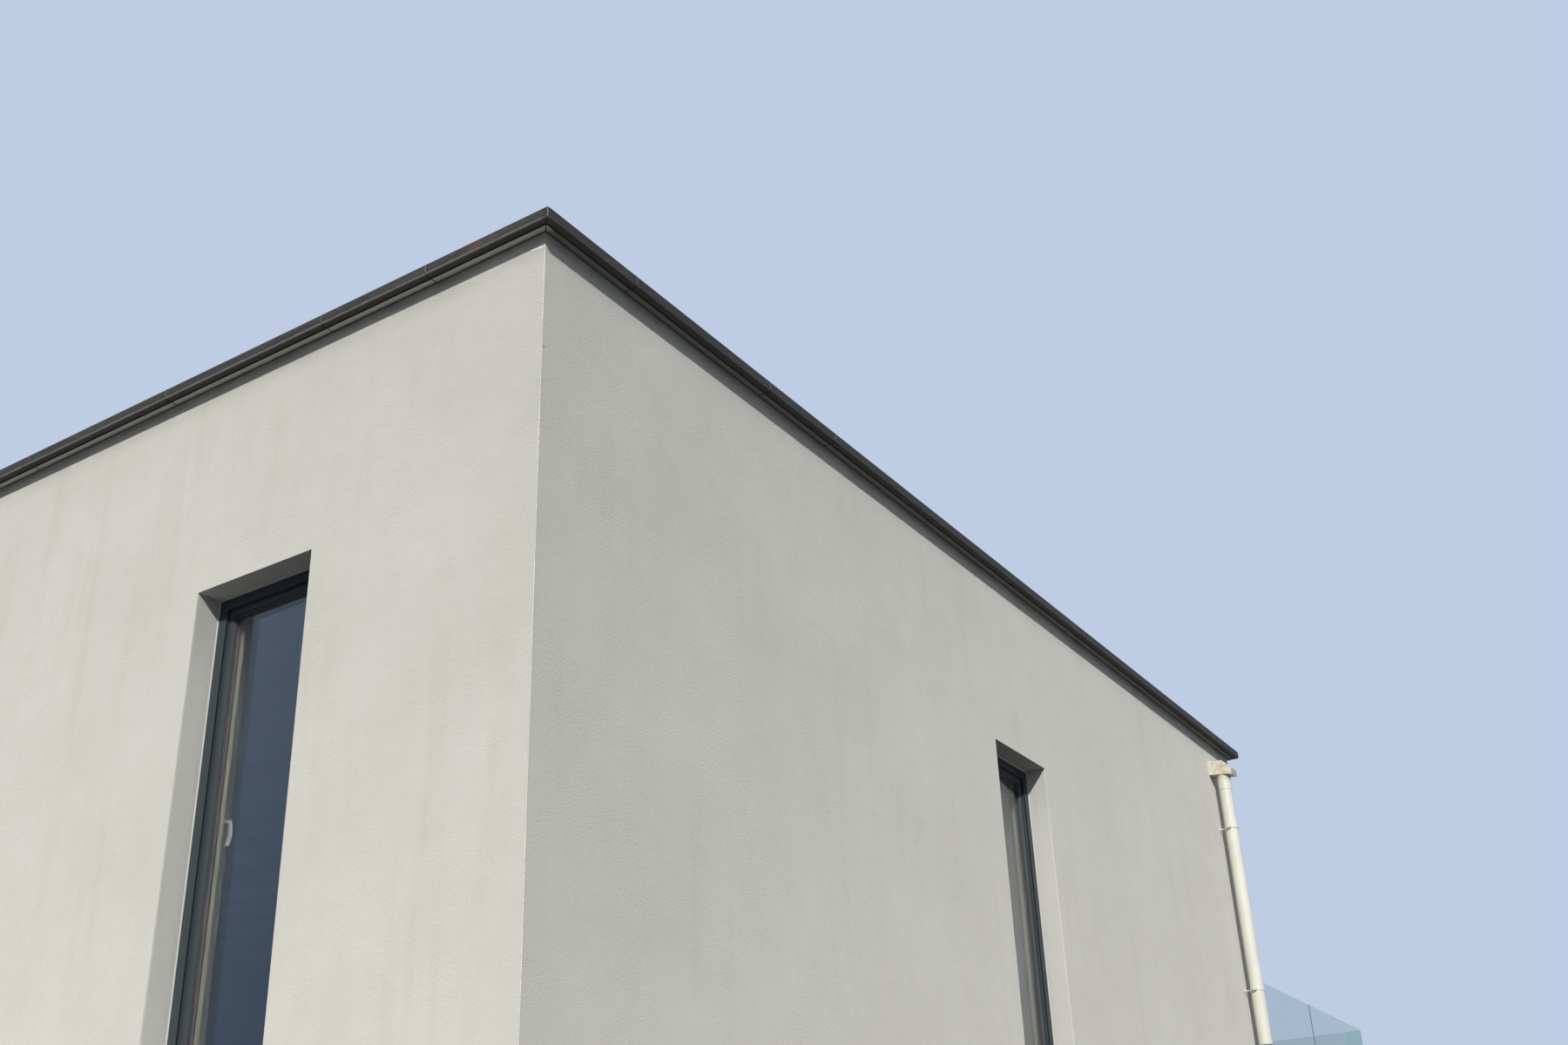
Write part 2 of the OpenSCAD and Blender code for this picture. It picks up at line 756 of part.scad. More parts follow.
front_wall();
right_wall();
left_wall();
upper_back_wall();
lower_back_wall();
ground_floor();
first_floor();
roof_slab();
roof_cover();
terrace_paving();
front_coping();
right_coping();
back_coping();
left_coping();
terrace_coping();
front_window_frames();
right_window_frames();
back_window_frames();
left_window_frames();
front_window_sashes();
right_window_sashes();
back_window_sashes();
left_window_sashes();
front_window_panes();
right_window_panes();
back_window_panes();
left_window_panes();
window_sills();
window_handles();
entrance_frame();
entrance_leaf();
terrace_door_frame();
terrace_door_leaf();
terrace_door_pane();
door_handles();
balustrade_channel();
balustrade_glass();
outlet_box();
downpipe();
pipe_brackets();
pipe_collar();
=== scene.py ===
"""Looks of a detached house: finishes, glazing, mortar, trims, light and camera.

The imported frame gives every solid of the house. The classes below dress those
solids, add the parts that are too fine for them, and set the stage.
"""

import logging
import math
import random
from dataclasses import dataclass, field
from enum import Enum
from typing import Iterable, Sequence, Union

import bmesh
import bpy
from mathutils import Matrix, Vector, noise


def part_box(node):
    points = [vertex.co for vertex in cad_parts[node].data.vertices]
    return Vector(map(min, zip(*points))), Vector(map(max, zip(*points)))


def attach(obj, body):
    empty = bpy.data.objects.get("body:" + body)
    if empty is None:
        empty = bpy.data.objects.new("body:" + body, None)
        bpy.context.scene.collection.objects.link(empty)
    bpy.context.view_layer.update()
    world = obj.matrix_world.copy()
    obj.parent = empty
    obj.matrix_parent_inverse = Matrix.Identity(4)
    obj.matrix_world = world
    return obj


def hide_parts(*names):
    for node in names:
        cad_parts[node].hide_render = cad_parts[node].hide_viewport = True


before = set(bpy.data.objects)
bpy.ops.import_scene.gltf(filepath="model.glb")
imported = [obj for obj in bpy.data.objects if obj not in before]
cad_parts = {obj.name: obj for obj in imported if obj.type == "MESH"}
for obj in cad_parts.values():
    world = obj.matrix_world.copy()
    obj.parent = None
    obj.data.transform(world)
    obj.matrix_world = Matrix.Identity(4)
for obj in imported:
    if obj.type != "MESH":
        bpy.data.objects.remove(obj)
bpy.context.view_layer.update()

LOG = logging.getLogger("house")
BODY = "root"
MM = 0.001

Point = tuple[float, float, float]
Span = tuple[float, float]
Value = Union["Wire", float, Sequence[float], None]
Key = Union[str, int]
Inputs = Union[dict[Key, Value], None]


def linear(level: float) -> float:
    """One channel of a screen colour, 0 to 255, as scene-linear light."""
    share = level / 255.0
    return share / 12.92 if share <= 0.04045 else ((share + 0.055) / 1.055) ** 2.4


def shade(red: float, green: float, blue: float) -> tuple[float, float, float, float]:
    """A colour as it looks on a screen, 0 to 255 a channel, for a colour socket."""
    return linear(red), linear(green), linear(blue), 1.0


def spot(axis: int, along: float, across: float, level: float) -> Vector:
    """A point from its places along and across a level axis (0 for X, 1 for Y), and its level."""
    return Vector((along, across, level) if axis == 0 else (across, along, level))


def new_object(name: str, data: bpy.types.ID) -> bpy.types.Object:
    """Puts an object into the scene.

    Args:
        name: Its name.
        data: Its mesh, lamp or camera.

    Returns:
        The object.
    """
    made = bpy.data.objects.new(name, data)
    bpy.context.scene.collection.objects.link(made)
    return made


class Side(Enum):
    """The way a wall faces: the axis that it faces along, and its sign."""

    FRONT = (1, -1)
    RIGHT = (0, 1)
    BACK = (1, 1)
    LEFT = (0, -1)


@dataclass(frozen=True)
class Box:
    """An upright box, from its lowest to its highest corner."""

    low: Vector
    high: Vector

    @property
    def size(self) -> Vector:
        """Its three sizes."""
        return self.high - self.low

    @property
    def centre(self) -> Vector:
        """Its middle."""
        return (self.low + self.high) / 2

    @property
    def thin_axis(self) -> int:
        """The level axis along which it is thinner: 0 for X, 1 for Y."""
        return 0 if self.size.x < self.size.y else 1

    @classmethod
    def of_node(cls, node: str) -> "Box":
        """The box of a whole node of the frame."""
        low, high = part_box(node)
        return cls(Vector(low), Vector(high))

    def strip(self, side: Side, depth: float, foot: float, head: float) -> "Box":
        """The strip along the inside of one of its sides.

        Args:
            side: The side.
            depth: How far the strip reaches in from it.
            foot: Lower level of the strip.
            head: Upper level of the strip.

        Returns:
            The strip.
        """
        axis, sign = side.value
        low, high = self.low.copy(), self.high.copy()
        face = (high if sign > 0 else low)[axis]
        low[axis], high[axis] = sorted((face, face - sign * depth))
        low.z, high.z = foot, head
        return Box(low, high)


def solids_of(node: str) -> list[Box]:
    """The separate solids of one node of the frame.

    Args:
        node: Name of the node.

    Returns:
        One box for each solid, in the order in which the mesh holds them.
    """
    mesh = bmesh.new()
    mesh.from_mesh(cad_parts[node].data)
    bmesh.ops.remove_doubles(mesh, verts=mesh.verts, dist=1e-5)
    seen: set[bmesh.types.BMVert] = set()
    boxes = []
    for start in mesh.verts:
        if start in seen:
            continue
        seen.add(start)
        reached, corners = [start], []
        while reached:
            vert = reached.pop()
            corners.append(vert.co.copy())
            others = {edge.other_vert(vert) for edge in vert.link_edges} - seen
            seen |= others
            reached.extend(others)
        boxes.append(Box(*(Vector(pick(corner[axis] for corner in corners) for axis in range(3))
                           for pick in (min, max))))
    mesh.free()
    return boxes


@dataclass(frozen=True)
class Plan:
    """Faces and levels of the house, read from the frame."""

    right: float
    front: float
    back: float
    rear: float
    wall: float
    top: float
    kerb: float
    roof: float
    ceiling: float
    first_floor: float

    @classmethod
    def read(cls) -> "Plan":
        """Measures the frame's walls, floors and roof.

        Returns:
            The faces and levels.
        """
        front_wall, rear_wall = Box.of_node("front_wall"), Box.of_node("lower_back_wall")
        return cls(
            right=front_wall.high.x,
            front=front_wall.low.y,
            back=Box.of_node("upper_back_wall").high.y,
            rear=rear_wall.high.y,
            wall=front_wall.size.y,
            top=front_wall.high.z,
            kerb=rear_wall.high.z,
            roof=Box.of_node("roof_cover").high.z,
            ceiling=Box.of_node("roof_slab").low.z,
            first_floor=Box.of_node("first_floor").high.z,
        )


PLAN = Plan.read()
MATERIALS: dict[str, bpy.types.Material] = {}


class Wire:
    """An output of a shader node; sums and products of it are further nodes."""

    def __init__(self, tree: "Tree", socket: bpy.types.NodeSocket) -> None:
        """Keeps the output and the tree that it is in."""
        self.tree = tree
        self.socket = socket

    def __add__(self, other: Value) -> "Wire":
        """The sum."""
        return self.tree.math("ADD", self, other)

    def __sub__(self, other: Value) -> "Wire":
        """The difference."""
        return self.tree.math("SUBTRACT", self, other)

    def __rsub__(self, other: Value) -> "Wire":
        """The difference from a plain number."""
        return self.tree.math("SUBTRACT", other, self)

    def __mul__(self, other: Value) -> "Wire":
        """The product."""
        return self.tree.math("MULTIPLY", self, other)

    def __truediv__(self, other: Value) -> "Wire":
        """The quotient."""
        return self.tree.math("DIVIDE", self, other)

    def __abs__(self) -> "Wire":
        """The number without its sign."""
        return self.tree.math("ABSOLUTE", self)

    def above(self, level: Value) -> "Wire":
        """1 where the number is above a level, 0 elsewhere."""
        return self.tree.math("GREATER_THAN", self, level)

    def step(self, low: float, high: float) -> "Wire":
        """0 below low and 1 above high, smooth between them; low may be the larger."""
        inputs = {0: self, 1: min(low, high), 2: max(low, high), 3: float(low > high), 4: float(low < high)}
        return self.tree.add("MapRange", inputs, interpolation_type="SMOOTHSTEP")

    def between(self, low: Value, high: Value) -> "Wire":
        """Two numbers mixed: the first where this is 0, the second where it is 1."""
        return self.tree.add("Mix", {0: self, 2: low, 3: high}, data_type="FLOAT")

    def parts(self) -> tuple["Wire", ...]:
        """The X, Y and Z of a vector."""
        return tuple(Wire(self.tree, part) for part in self.tree.node("SeparateXYZ", {0: self}).outputs)

    def scaled(self, scale: Point, shift: Point = (0, 0, 0)) -> "Wire":
        """A place scaled along each axis and moved."""
        return self.tree.add("Mapping", {"Vector": self, "Scale": scale, "Location": shift})

    def length(self) -> "Wire":
        """The length of a vector."""
        return self.tree.add("VectorMath", {0: self}, out=1, operation="LENGTH")


class Tree:
    """Makes and joins the nodes of one material or shader group."""

    def __init__(self, tree: bpy.types.NodeTree) -> None:
        """Keeps the node tree to build in."""
        self.tree = tree

    @classmethod
    def of(cls, owner: bpy.types.Material | bpy.types.World) -> "Tree":
        """The emptied node tree of a material or of the world."""
        owner.use_nodes = True
        owner.node_tree.nodes.clear()
        return cls(owner.node_tree)

    def feed(self, socket: bpy.types.NodeSocket, value: Value) -> None:
        """Links a socket to an output, or sets it to a plain value.

        Args:
            socket: Input to fill.
            value: Output of another node, a number, a colour or a vector.
        """
        if isinstance(value, Wire):
            self.tree.links.new(value.socket, socket)
        elif value is not None:
            socket.default_value = value

    def node(self, kind: str, inputs: Inputs = None, **settings: object) -> bpy.types.Node:
        """Adds one node.

        Args:
            kind: Type of node, without its prefix.
            inputs: Values or outputs for its inputs, by name or number.
            **settings: Properties of the node.

        Returns:
            The new node.
        """
        node = self.tree.nodes.new("ShaderNode" + kind)
        for name, value in settings.items():
            setattr(node, name, value)
        for name, value in (inputs or {}).items():
            self.feed(node.inputs[name], value)
        return node

    def add(self, kind: str, inputs: Inputs = None, out: Key = 0, **settings: object) -> Wire:
        """Adds one node, as node() does, and returns its output of that name or number."""
        return Wire(self, self.node(kind, inputs, **settings).outputs[out])

    def math(self, operation: str, *values: Value, clamp: bool = False) -> Wire:
        """One sum, product or other operation on numbers."""
        return self.add("Math", dict(enumerate(values)), operation=operation, use_clamp=clamp)

    def mix(self, share: Value, first: Value, second: Value) -> Wire:
        """Two colours mixed: the first at share 0, the second at 1."""
        return self.add("Mix", {0: share, 6: first, 7: second}, out=2, data_type="RGBA")

    def layers(self, base: Value, *coats: tuple[Wire, float, Value]) -> Wire:
        """Colours laid over each other.

        Args:
            base: The colour under all coats.
            *coats: For each coat its mask, how much of it shows at full mask, and its colour.

        Returns:
            The colour seen.
        """
        for mask, share, tone in coats:
            base = self.mix(mask if share == 1 else mask * share, base, tone)
        return base

    def place(self) -> Wire:
        """A point's place on the house, in metres."""
        return self.add("TexCoord", out="Object")

    def facing(self, which: str = "True Normal") -> Wire:
        """The way that the surface faces; "True Normal" is the flat face's own."""
        return self.add("NewGeometry", out=which)

    def noise(self, scale: Value, detail: float, rough: float = 0.5, place: Value = None) -> Wire:
        """Soft noise, about 0.5 on average."""
        inputs = {"Vector": place or self.place(), "Scale": scale, "Detail": detail, "Roughness": rough}
        return self.add("TexNoise", inputs)

    def cells(self, scale: float, out: str) -> Wire:
        """Cells with a Distance and a Color of their own."""
        return self.add("TexVoronoi", {"Vector": self.place(), "Scale": scale}, out=out)

    def near(self, point: Point, reach: Point, soft: float) -> Wire:
        """A mask round one point of the house: 1 in its middle, 0 outside its reach.

        Args:
            point: Middle of the mask.
            reach: Half sizes along X, Y and Z.
            soft: Share of the reach over which the mask fades.

        Returns:
            The mask.
        """
        scale = tuple(1 / size for size in reach)
        shift = tuple(-place * factor for place, factor in zip(point, scale))
        return self.place().scaled(scale, shift).length().step(1.0, 1.0 - soft)

    def inset(self, x: Wire, y: Wire, side: float, front: float, back: Wire) -> Wire:
        """Distance in from an outline of the house in plan.

        Args:
            x: The point's X.
            y: The point's Y.
            side: X of the outline's right side; the left one mirrors it.
            front: Y of its front.
            back: Y of its back, which may differ by storey.

        Returns:
            The distance to the nearest side.
        """
        from_ends = self.math("MINIMUM", y - front, back - y)
        return self.math("MINIMUM", side - abs(x), from_ends)


class ShaderGroup:
    """A shader effect with named inputs and outputs, built once and placed in many materials."""

    name = ""
    inputs: dict[str, float] = {}
    outputs: tuple[str, ...] = ("Mask",)

    def work(self, tree: Tree, place: Wire, *given: Wire) -> Sequence[Wire]:
        """Builds the effect.

        Args:
            tree: The group's tree.
            place: The place that the effect works from.
            *given: The group's other inputs, in order.

        Returns:
            The group's outputs, in order.
        """
        raise NotImplementedError

    def group(self) -> bpy.types.NodeTree:
        """Makes the group the first time it is asked for.

        Returns:
            The group's node tree.
        """
        if self.name in bpy.data.node_groups:
            return bpy.data.node_groups[self.name]
        made = bpy.data.node_groups.new(self.name, "ShaderNodeTree")
        face = made.interface
        face.new_socket(name="Place", in_out="INPUT", socket_type="NodeSocketVector")
        for label, start in self.inputs.items():
            face.new_socket(name=label, in_out="INPUT", socket_type="NodeSocketFloat").default_value = start
        for label in self.outputs:
            face.new_socket(name=label, in_out="OUTPUT", socket_type="NodeSocketFloat")
        source, result = made.nodes.new("NodeGroupInput"), made.nodes.new("NodeGroupOutput")
        tree = Tree(made)
        given = [Wire(tree, source.outputs[label]) for label in ("Place", *self.inputs)]
        for label, wire in zip(self.outputs, self.work(tree, *given)):
            tree.feed(result.inputs[label], wire)
        return made

    def put(self, tree: Tree, place: Value = None, **values: Value) -> list[Wire]:
        """Places the effect in a material.

        Args:
            tree: The material's tree.
            place: The place that the effect works from; None for the place on the house.
            **values: Values for the group's other inputs, by name.

        Returns:
            The group's outputs.
        """
        inputs = {"Place": place or tree.place(), **values}
        return [Wire(tree, out) for out in tree.node("Group", inputs, node_tree=self.group()).outputs]


class Grain(ShaderGroup):
    """Fine grains of two sizes."""

    name = "Fine grain"
    inputs = {"Scale": 200.0, "Coarse": 0.4}
    outputs = ("Grain",)

    def work(self, tree: Tree, place: Wire, scale: Wire, coarse: Wire) -> Sequence[Wire]:
        """Mixes a fine and a coarse noise; Coarse is the coarse one's share."""
        return (coarse.between(tree.noise(scale, 2, place=place), tree.noise(scale * 0.3, 1, place=place)),)


class Blotches(ShaderGroup):
    """Cloudy patches with soft or crisp edges."""

    name = "Blotches"
    inputs = {"Scale": 2.0, "Level": 0.5, "Edge": 0.12}

    def work(self, tree: Tree, place: Wire, scale: Wire, level: Wire, edge: Wire) -> Sequence[Wire]:
        """Cuts a cloudy noise at Level, over a width of Edge."""
        cloud = tree.noise(scale, 5, 0.6, place)
        return (tree.math("ADD", (cloud - level) / edge, 0.5, clamp=True),)


class Streaks(ShaderGroup):
    """Marks that rainwater draws down a face."""

    name = "Rain streaks"
    inputs = {"Width": 12.0, "Level": 0.5}
    drawn_out = 0.06
    contrast = 5.0

    def work(self, tree: Tree, place: Wire, width: Wire, level: Wire) -> Sequence[Wire]:
        """Stretches a noise along Z, cuts it at Level and breaks it up."""
        lines = tree.noise(width, 4, 0.55, place.scaled((1, 1, self.drawn_out)))
        mask = tree.math("MULTIPLY", lines - level, self.contrast, clamp=True)
        return (mask * tree.noise(1.3, 2, place=place).step(0.35, 0.65),)


class Dust(ShaderGroup):
    """Dust on faces that look up."""

    name = "Settled dust"
    inputs = {"Scale": 6.0, "Amount": 0.5}

    def work(self, tree: Tree, place: Wire, scale: Wire, amount: Wire) -> Sequence[Wire]:
        """Grows with how far a face looks up, broken by a noise."""
        upward = tree.facing("Normal").parts()[2]
        return (upward.step(0.2, 0.9) * tree.noise(scale, 4, 0.6, place).step(0.3, 0.75) * amount,)


class WallDepth(ShaderGroup):
    """Depth of a point behind the outer face of its wall."""

    name = "Depth in the wall"
    outputs = ("Depth", "Room side")
    room_from: Span = (0.168, 0.174)
    over_ceiling = 0.01

    def work(self, tree: Tree, place: Wire) -> Sequence[Wire]:
        """Takes the nearest outer face, whose place at the back differs by storey."""
        x, y, z = place.parts()
        back = z.above(PLAN.first_floor).between(PLAN.rear, PLAN.back)
        depth = tree.inset(x, y, PLAN.right, PLAN.front, back)
        indoors = tree.math("LESS_THAN", z, PLAN.ceiling + self.over_ceiling)
        return depth, depth.step(*self.room_from) * indoors


class CopingEdge(ShaderGroup):
    """Distance in from the outline of the copings, on the parapet and on the kerb."""

    name = "Edge of the coping"
    outputs = ("Inset", "Height")

    def work(self, tree: Tree, place: Wire) -> Sequence[Wire]:
        """Measures from the outline in plan, and up from the underside."""
        x, y, z = place.parts()
        front, side = Box.of_node("front_coping").low.y, Box.of_node("right_coping").high.x
        over = side - PLAN.right
        on_parapet = z.above((PLAN.kerb + PLAN.top) / 2)
        back = on_parapet.between(PLAN.rear + over, PLAN.back + over)
        return tree.inset(x, y, side, front, back), z - on_parapet.between(PLAN.kerb, PLAN.top)


GRAIN, BLOTCHES, STREAKS, DUST = Grain(), Blotches(), Streaks(), Dust()
WALL_DEPTH, COPING_EDGE = WallDepth(), CopingEdge()


class FinishTree(Tree):
    """The shader tree of one finish, with the house's shared effects at hand."""

    def grain(self, scale: float, coarse: float = 0.5) -> Wire:
        """Fine grains."""
        return GRAIN.put(self, Scale=scale, Coarse=coarse)[0]

    def patches(self, scale: float, level: float = 0.5, edge: float = 0.4, place: Value = None) -> Wire:
        """Cloudy patches."""
        return BLOTCHES.put(self, place, Scale=scale, Level=level, Edge=edge)[0]

    def streaks(self, width: float, level: float) -> Wire:
        """Rain streaks."""
        return STREAKS.put(self, Width=width, Level=level)[0]

    def dust(self, scale: float, amount: float) -> Wire:
        """Settled dust."""
        return DUST.put(self, Scale=scale, Amount=amount)[0]

    def surface(self, colour: Value, rough: Value, rise: Value, relief: float, **others: Value) -> Wire:
        """A Principled shader with bumps.

        Args:
            colour: Base colour.
            rough: Roughness.
            rise: Heights of the bumps.
            relief: Height of a rise of 1, in metres.
            **others: Other inputs, by name; an underscore stands for a space.

        Returns:
            The shader.
        """
        inputs = {name.replace("_", " "): value for name, value in others.items()}
        if relief:
            inputs["Normal"] = self.add("Bump", {"Height": rise, "Distance": relief})
        return self.add("BsdfPrincipled", {"Base Color": colour, "Roughness": rough, **inputs})

    def letting_light_through(self, glass: Wire, tint: Value) -> Wire:
        """The glass for every ray but a lamp's, which passes as through a tinted opening."""
        clear = self.add("BsdfTransparent", {0: tint})
        return self.add("MixShader", {0: self.add("LightPath", out="Is Shadow Ray"), 1: glass, 2: clear})


@dataclass(frozen=True)
class Finish:
    """A finish of the house, made into a material the first time that it is used."""

    name: str

    def shader(self, tree: FinishTree) -> Wire:
        """Builds the shader.

        Args:
            tree: The material's tree.

        Returns:
            The shader's output.
        """
        raise NotImplementedError

    def material(self) -> bpy.types.Material:
        """Makes the material the first time it is asked for.

        Returns:
            The finish as a material.
        """
        if self.name not in MATERIALS:
            made = MATERIALS[self.name] = bpy.data.materials.new(self.name)
            tree = FinishTree.of(made)
            tree.node("OutputMaterial", {"Surface": self.shader(tree)})
        return MATERIALS[self.name]


@dataclass(frozen=True)
class RenderFinish(Finish):
    """Fine mineral render outside, smooth plaster on the room side that is painted dark grey as shade of the
    dim rooms.
    """

    name: str = "mineral_render"
    tone: tuple = shade(219, 217, 209)
    worn: tuple = shade(196, 194, 184)
    stain: tuple = shade(168, 158, 138)
    soot_and_painted_shade: tuple = shade(120, 124, 112)
    algae_and_painted_shade: tuple = shade(104, 116, 104)
    glint: tuple = shade(238, 236, 226)
    bare: tuple = shade(246, 244, 236)
    # Painted shade for faces that look right and for the reveals.
    painted_side_shade: tuple = shade(122, 127, 130)
    # Painted shade for the undersides of the window heads in the right wall.
    head: tuple = shade(92, 90, 86)
    # Painted shade: the room-side plaster is given a dark grey.
    plaster_in_painted_shade: tuple = shade(84, 84, 82)
    soot_and_shade_below_top: Span = (0.16, 0.01)
    damp_and_shade_below_top: float = 0.055
    splash_top: float = 0.55
    reveal_from: Span = (2 * MM, 12 * MM)
    soffit_shade_from_right: Span = (0.40, 0.30)
    chip_in: float = 42 * MM
    chip_down: float = 62 * MM
    chip_reach: Point = (40 * MM, 20 * MM, 14 * MM)
    chip_line: Span = (4.2 * MM, 2.2 * MM)
    chip_slope: float = -0.14
    chip_wander: float = 30 * MM
    pit_in: float = 12 * MM
    pit_down: float = 0.536
    pit_reach: Point = (10 * MM, 6 * MM, 9 * MM)
    wave_rise: Span = (0.6, 3.2)
    plaster_rise: float = 0.15
    relief: float = 0.55 * MM

    def shader(self, tree: FinishTree) -> Wire:
        """Sand grains and trowelled waves, with faint streaks, stains and a darker foot; painted shade
        darkens the band under the coping, faces that look right, the reveals, the right-hand window heads, a
        pit and the room side.
        """
        x, _, height = tree.place().parts()
        facing_right, _, facing_up = tree.facing().parts()
        depth, room = WALL_DEPTH.put(tree)
        grain = tree.grain(scale=380.0)
        grime_and_shade_patches = tree.patches(scale=3.5, level=0.42, edge=0.3, place=tree.place().scaled((1, 1, 4)))
        # Painted shade under the coping, mixed with soot and algae: the band just below the wall's top is
        # darkened, in cloudy patches.
        under = height.step(*(PLAN.top - down for down in self.soot_and_shade_below_top))
        damp_and_shade = height.step(PLAN.top - self.damp_and_shade_below_top, PLAN.top)
        chip_at = (PLAN.right - self.chip_in, PLAN.front, PLAN.top - self.chip_down)
        chip = tree.near(chip_at, self.chip_reach, 0.3) * self.crack(tree)
        # Painted shade: a dark spot stands for the shade in a small pit in the render.
        pit_at = (PLAN.right, PLAN.front + self.pit_in, PLAN.top - self.pit_down)
        pit = tree.near(pit_at, self.pit_reach, 0.5)
        # Painted shade: faces that look to the right are greyed as they get less light, and the sides of the
        # window reveals as shade in the recess.
        side_and_reveal_shade = facing_right.step(0.4, 0.6) * 0.16 + depth.step(*self.reveal_from) * 0.20
        # Painted shade: render that faces down near the right wall, the soffits of its window heads, is
        # darkened.
        head = facing_up.step(-0.6, -0.9) * x.step(*(PLAN.right - inward for inward in self.soffit_shade_from_right))
        colour = tree.layers(
            self.tone,
            (tree.patches(scale=1.7, level=0.52, edge=0.5), 0.42, self.worn),
            (tree.patches(scale=11.0, level=0.55), 0.16, self.worn),
            (tree.streaks(width=9.0, level=0.52), 0.13, self.stain),
            # painted shade and soot under the coping
            (under * grime_and_shade_patches, 0.30, self.soot_and_painted_shade),
            # painted shade and algae in the last few centimetres under the coping
            (damp_and_shade * grime_and_shade_patches.between(0.1, 0.5), 1, self.algae_and_painted_shade),
            (height.step(self.splash_top, 0.0) * grime_and_shade_patches.between(0.25, 0.6), 1, self.stain),
            (grain.step(0.60, 0.74), 0.16, self.stain),
            (grain.step(0.42, 0.30), 0.12, self.glint),
            (chip, 1, self.bare),
            # painted shade of the pit
            (pit, 0.7, self.soot_and_painted_shade),
            # painted shade on the room side
            (room, 1, self.plaster_in_painted_shade),
            # painted shade on right-facing faces and in the reveals
            (side_and_reveal_shade, 1, self.painted_side_shade),
            # painted shade under the right-hand window heads
            (head, 0.42, self.head),
        )
        waves = tree.noise(125, 2, 0.55)
        uneven = tree.patches(scale=2.6, level=0.46, edge=0.22).between(*self.wave_rise)
        rise = (waves * uneven + grain) * room.between(1.0, self.plaster_rise)
        return tree.surface(colour, 0.93, rise, self.relief, Diffuse_Roughness=0.45, Specular_IOR_Level=0.25)

    def crack(self, tree: FinishTree) -> Wire:
        """A thin zigzag line where the render has flaked under the coping.

        Args:
            tree: The material's tree.

        Returns:
            1 on the line, 0 beside it.
        """
        x, _, z = tree.place().parts()
        wander = (tree.noise(62, 2) - 0.5) * self.chip_wander
        slope = (x - (PLAN.right - self.chip_in)) * self.chip_slope
        return abs(z - (slope + wander + (PLAN.top - self.chip_down))).step(*self.chip_line)


@dataclass(frozen=True)
class CopingFinish(Finish):
    """Dark weathered stone with a worn pale arris, lichen and a rusty stain, with painted light on the arris
    and the inner lip and painted shade on the underside and right face.
    """

    name: str = "weathered_coping_stone"
    tone: tuple = shade(66, 63, 60)
    dark: tuple = shade(36, 35, 34)
    pale: tuple = shade(120, 118, 112)
    worn: tuple = shade(176, 174, 168)
    # Pale strip on the underside, partly its own colour and partly painted bounce light.
    lip_tone: tuple = shade(212, 210, 203)
    lichen: tuple = shade(126, 122, 92)
    rust: tuple = shade(98, 62, 48)
    moss: tuple = shade(62, 68, 50)
    ragged: float = 6 * MM
    arris: Span = (11.5 * MM, 7 * MM)
    underside: float = 3 * MM
    upper_face: Span = (42 * MM, 50 * MM)
    lip_from: Span = (39 * MM, 41 * MM)
    lip_to: Span = (78 * MM, 60 * MM)
    lichen_ends: Span = (1.9, 0.9)
    lichen_starts: Span = (-0.05, 0.25)
    rust_at: Point = (-0.31, -0.07, 0.03)
    rust_reach: Point = (0.07, 0.03, 0.028)
    relief: float = 0.9 * MM

    def shader(self, tree: FinishTree) -> Wire:
        """Streaky stone; wear and painted light follow the lower outer arris and the inner lip, and painted
        shade darkens the underside and the right face.
        """
        x, y, _ = tree.place().parts()
        inset, height = COPING_EDGE.put(tree)
        grain = tree.grain(scale=420.0)
        lines = tree.noise(1.6, 5, 0.65, tree.place().scaled((2.2, 2.2, 60)))
        patches = tree.patches(scale=3.2, edge=0.35)
        ragged = tree.noise(1.0, 3, place=tree.place().scaled((30, 30, 30))) * self.ragged
        from_arris = tree.math("SQRT", inset * inset + height * height)
        on_front = y.step(PLAN.front + 0.02, PLAN.front - 0.02)
        on_right = x.step(PLAN.right + 0.03, PLAN.right + 0.06)
        arris = (from_arris + ragged).step(*self.arris)
        below = height.step(self.underside, 0.0)
        lip = inset.step(*self.lip_from) * (inset + ragged).step(*self.lip_to) * below
        corner = y.step(*(PLAN.front + far for far in self.lichen_ends)) * y.step(
            *(PLAN.front + far for far in self.lichen_starts))
        crowd = tree.noise(5.0, 4).step(0.40, 0.62)
        amount = (on_right * corner).between(0.10, 1.0) * height.step(0.0, 4 * MM)
        spots = tree.noise(150, 3, 0.7).step(0.55, 0.66) * crowd * amount
        rust_at = tuple(base + off for base, off in zip((PLAN.right, PLAN.front, PLAN.top), self.rust_at))
        colour = tree.layers(
            self.dark,
            (lines.step(0.36, 0.66), 1, self.tone),
            (patches, 0.45, self.dark),
            (grain.step(0.52, 0.72), 0.35, self.pale),
            # worn pale arris, partly painted light: paler on the front than on the right face
            (arris * on_front.between(0.26, 0.58), 1, self.worn),
            # painted shade: the undersides are darkened
            (below, 0.6, self.dark),
            # pale strip between the drip groove and the wall: partly its own pale colour, partly painted
            # bounce light, stronger on the front
            (lip * on_front.between(0.30, 0.95), 1, self.lip_tone),
            # painted shade: the right face is darkened in patches, as it gets less light
            (on_right * patches.between(0.5, 0.8), 1, self.dark),
            (spots, 0.7, self.lichen),
            (height.step(*self.upper_face) * tree.patches(scale=7.0, level=0.54, edge=0.15), 0.5, self.moss),
            (tree.near(rust_at, self.rust_reach, 0.8) * lines.step(0.35, 0.6), 0.75, self.rust),
            (tree.dust(scale=5.0, amount=0.45), 1, self.pale),
        )
        return tree.surface(colour, spots.between(0.82, 0.95), lines * 0.8 + grain * 0.5, self.relief)


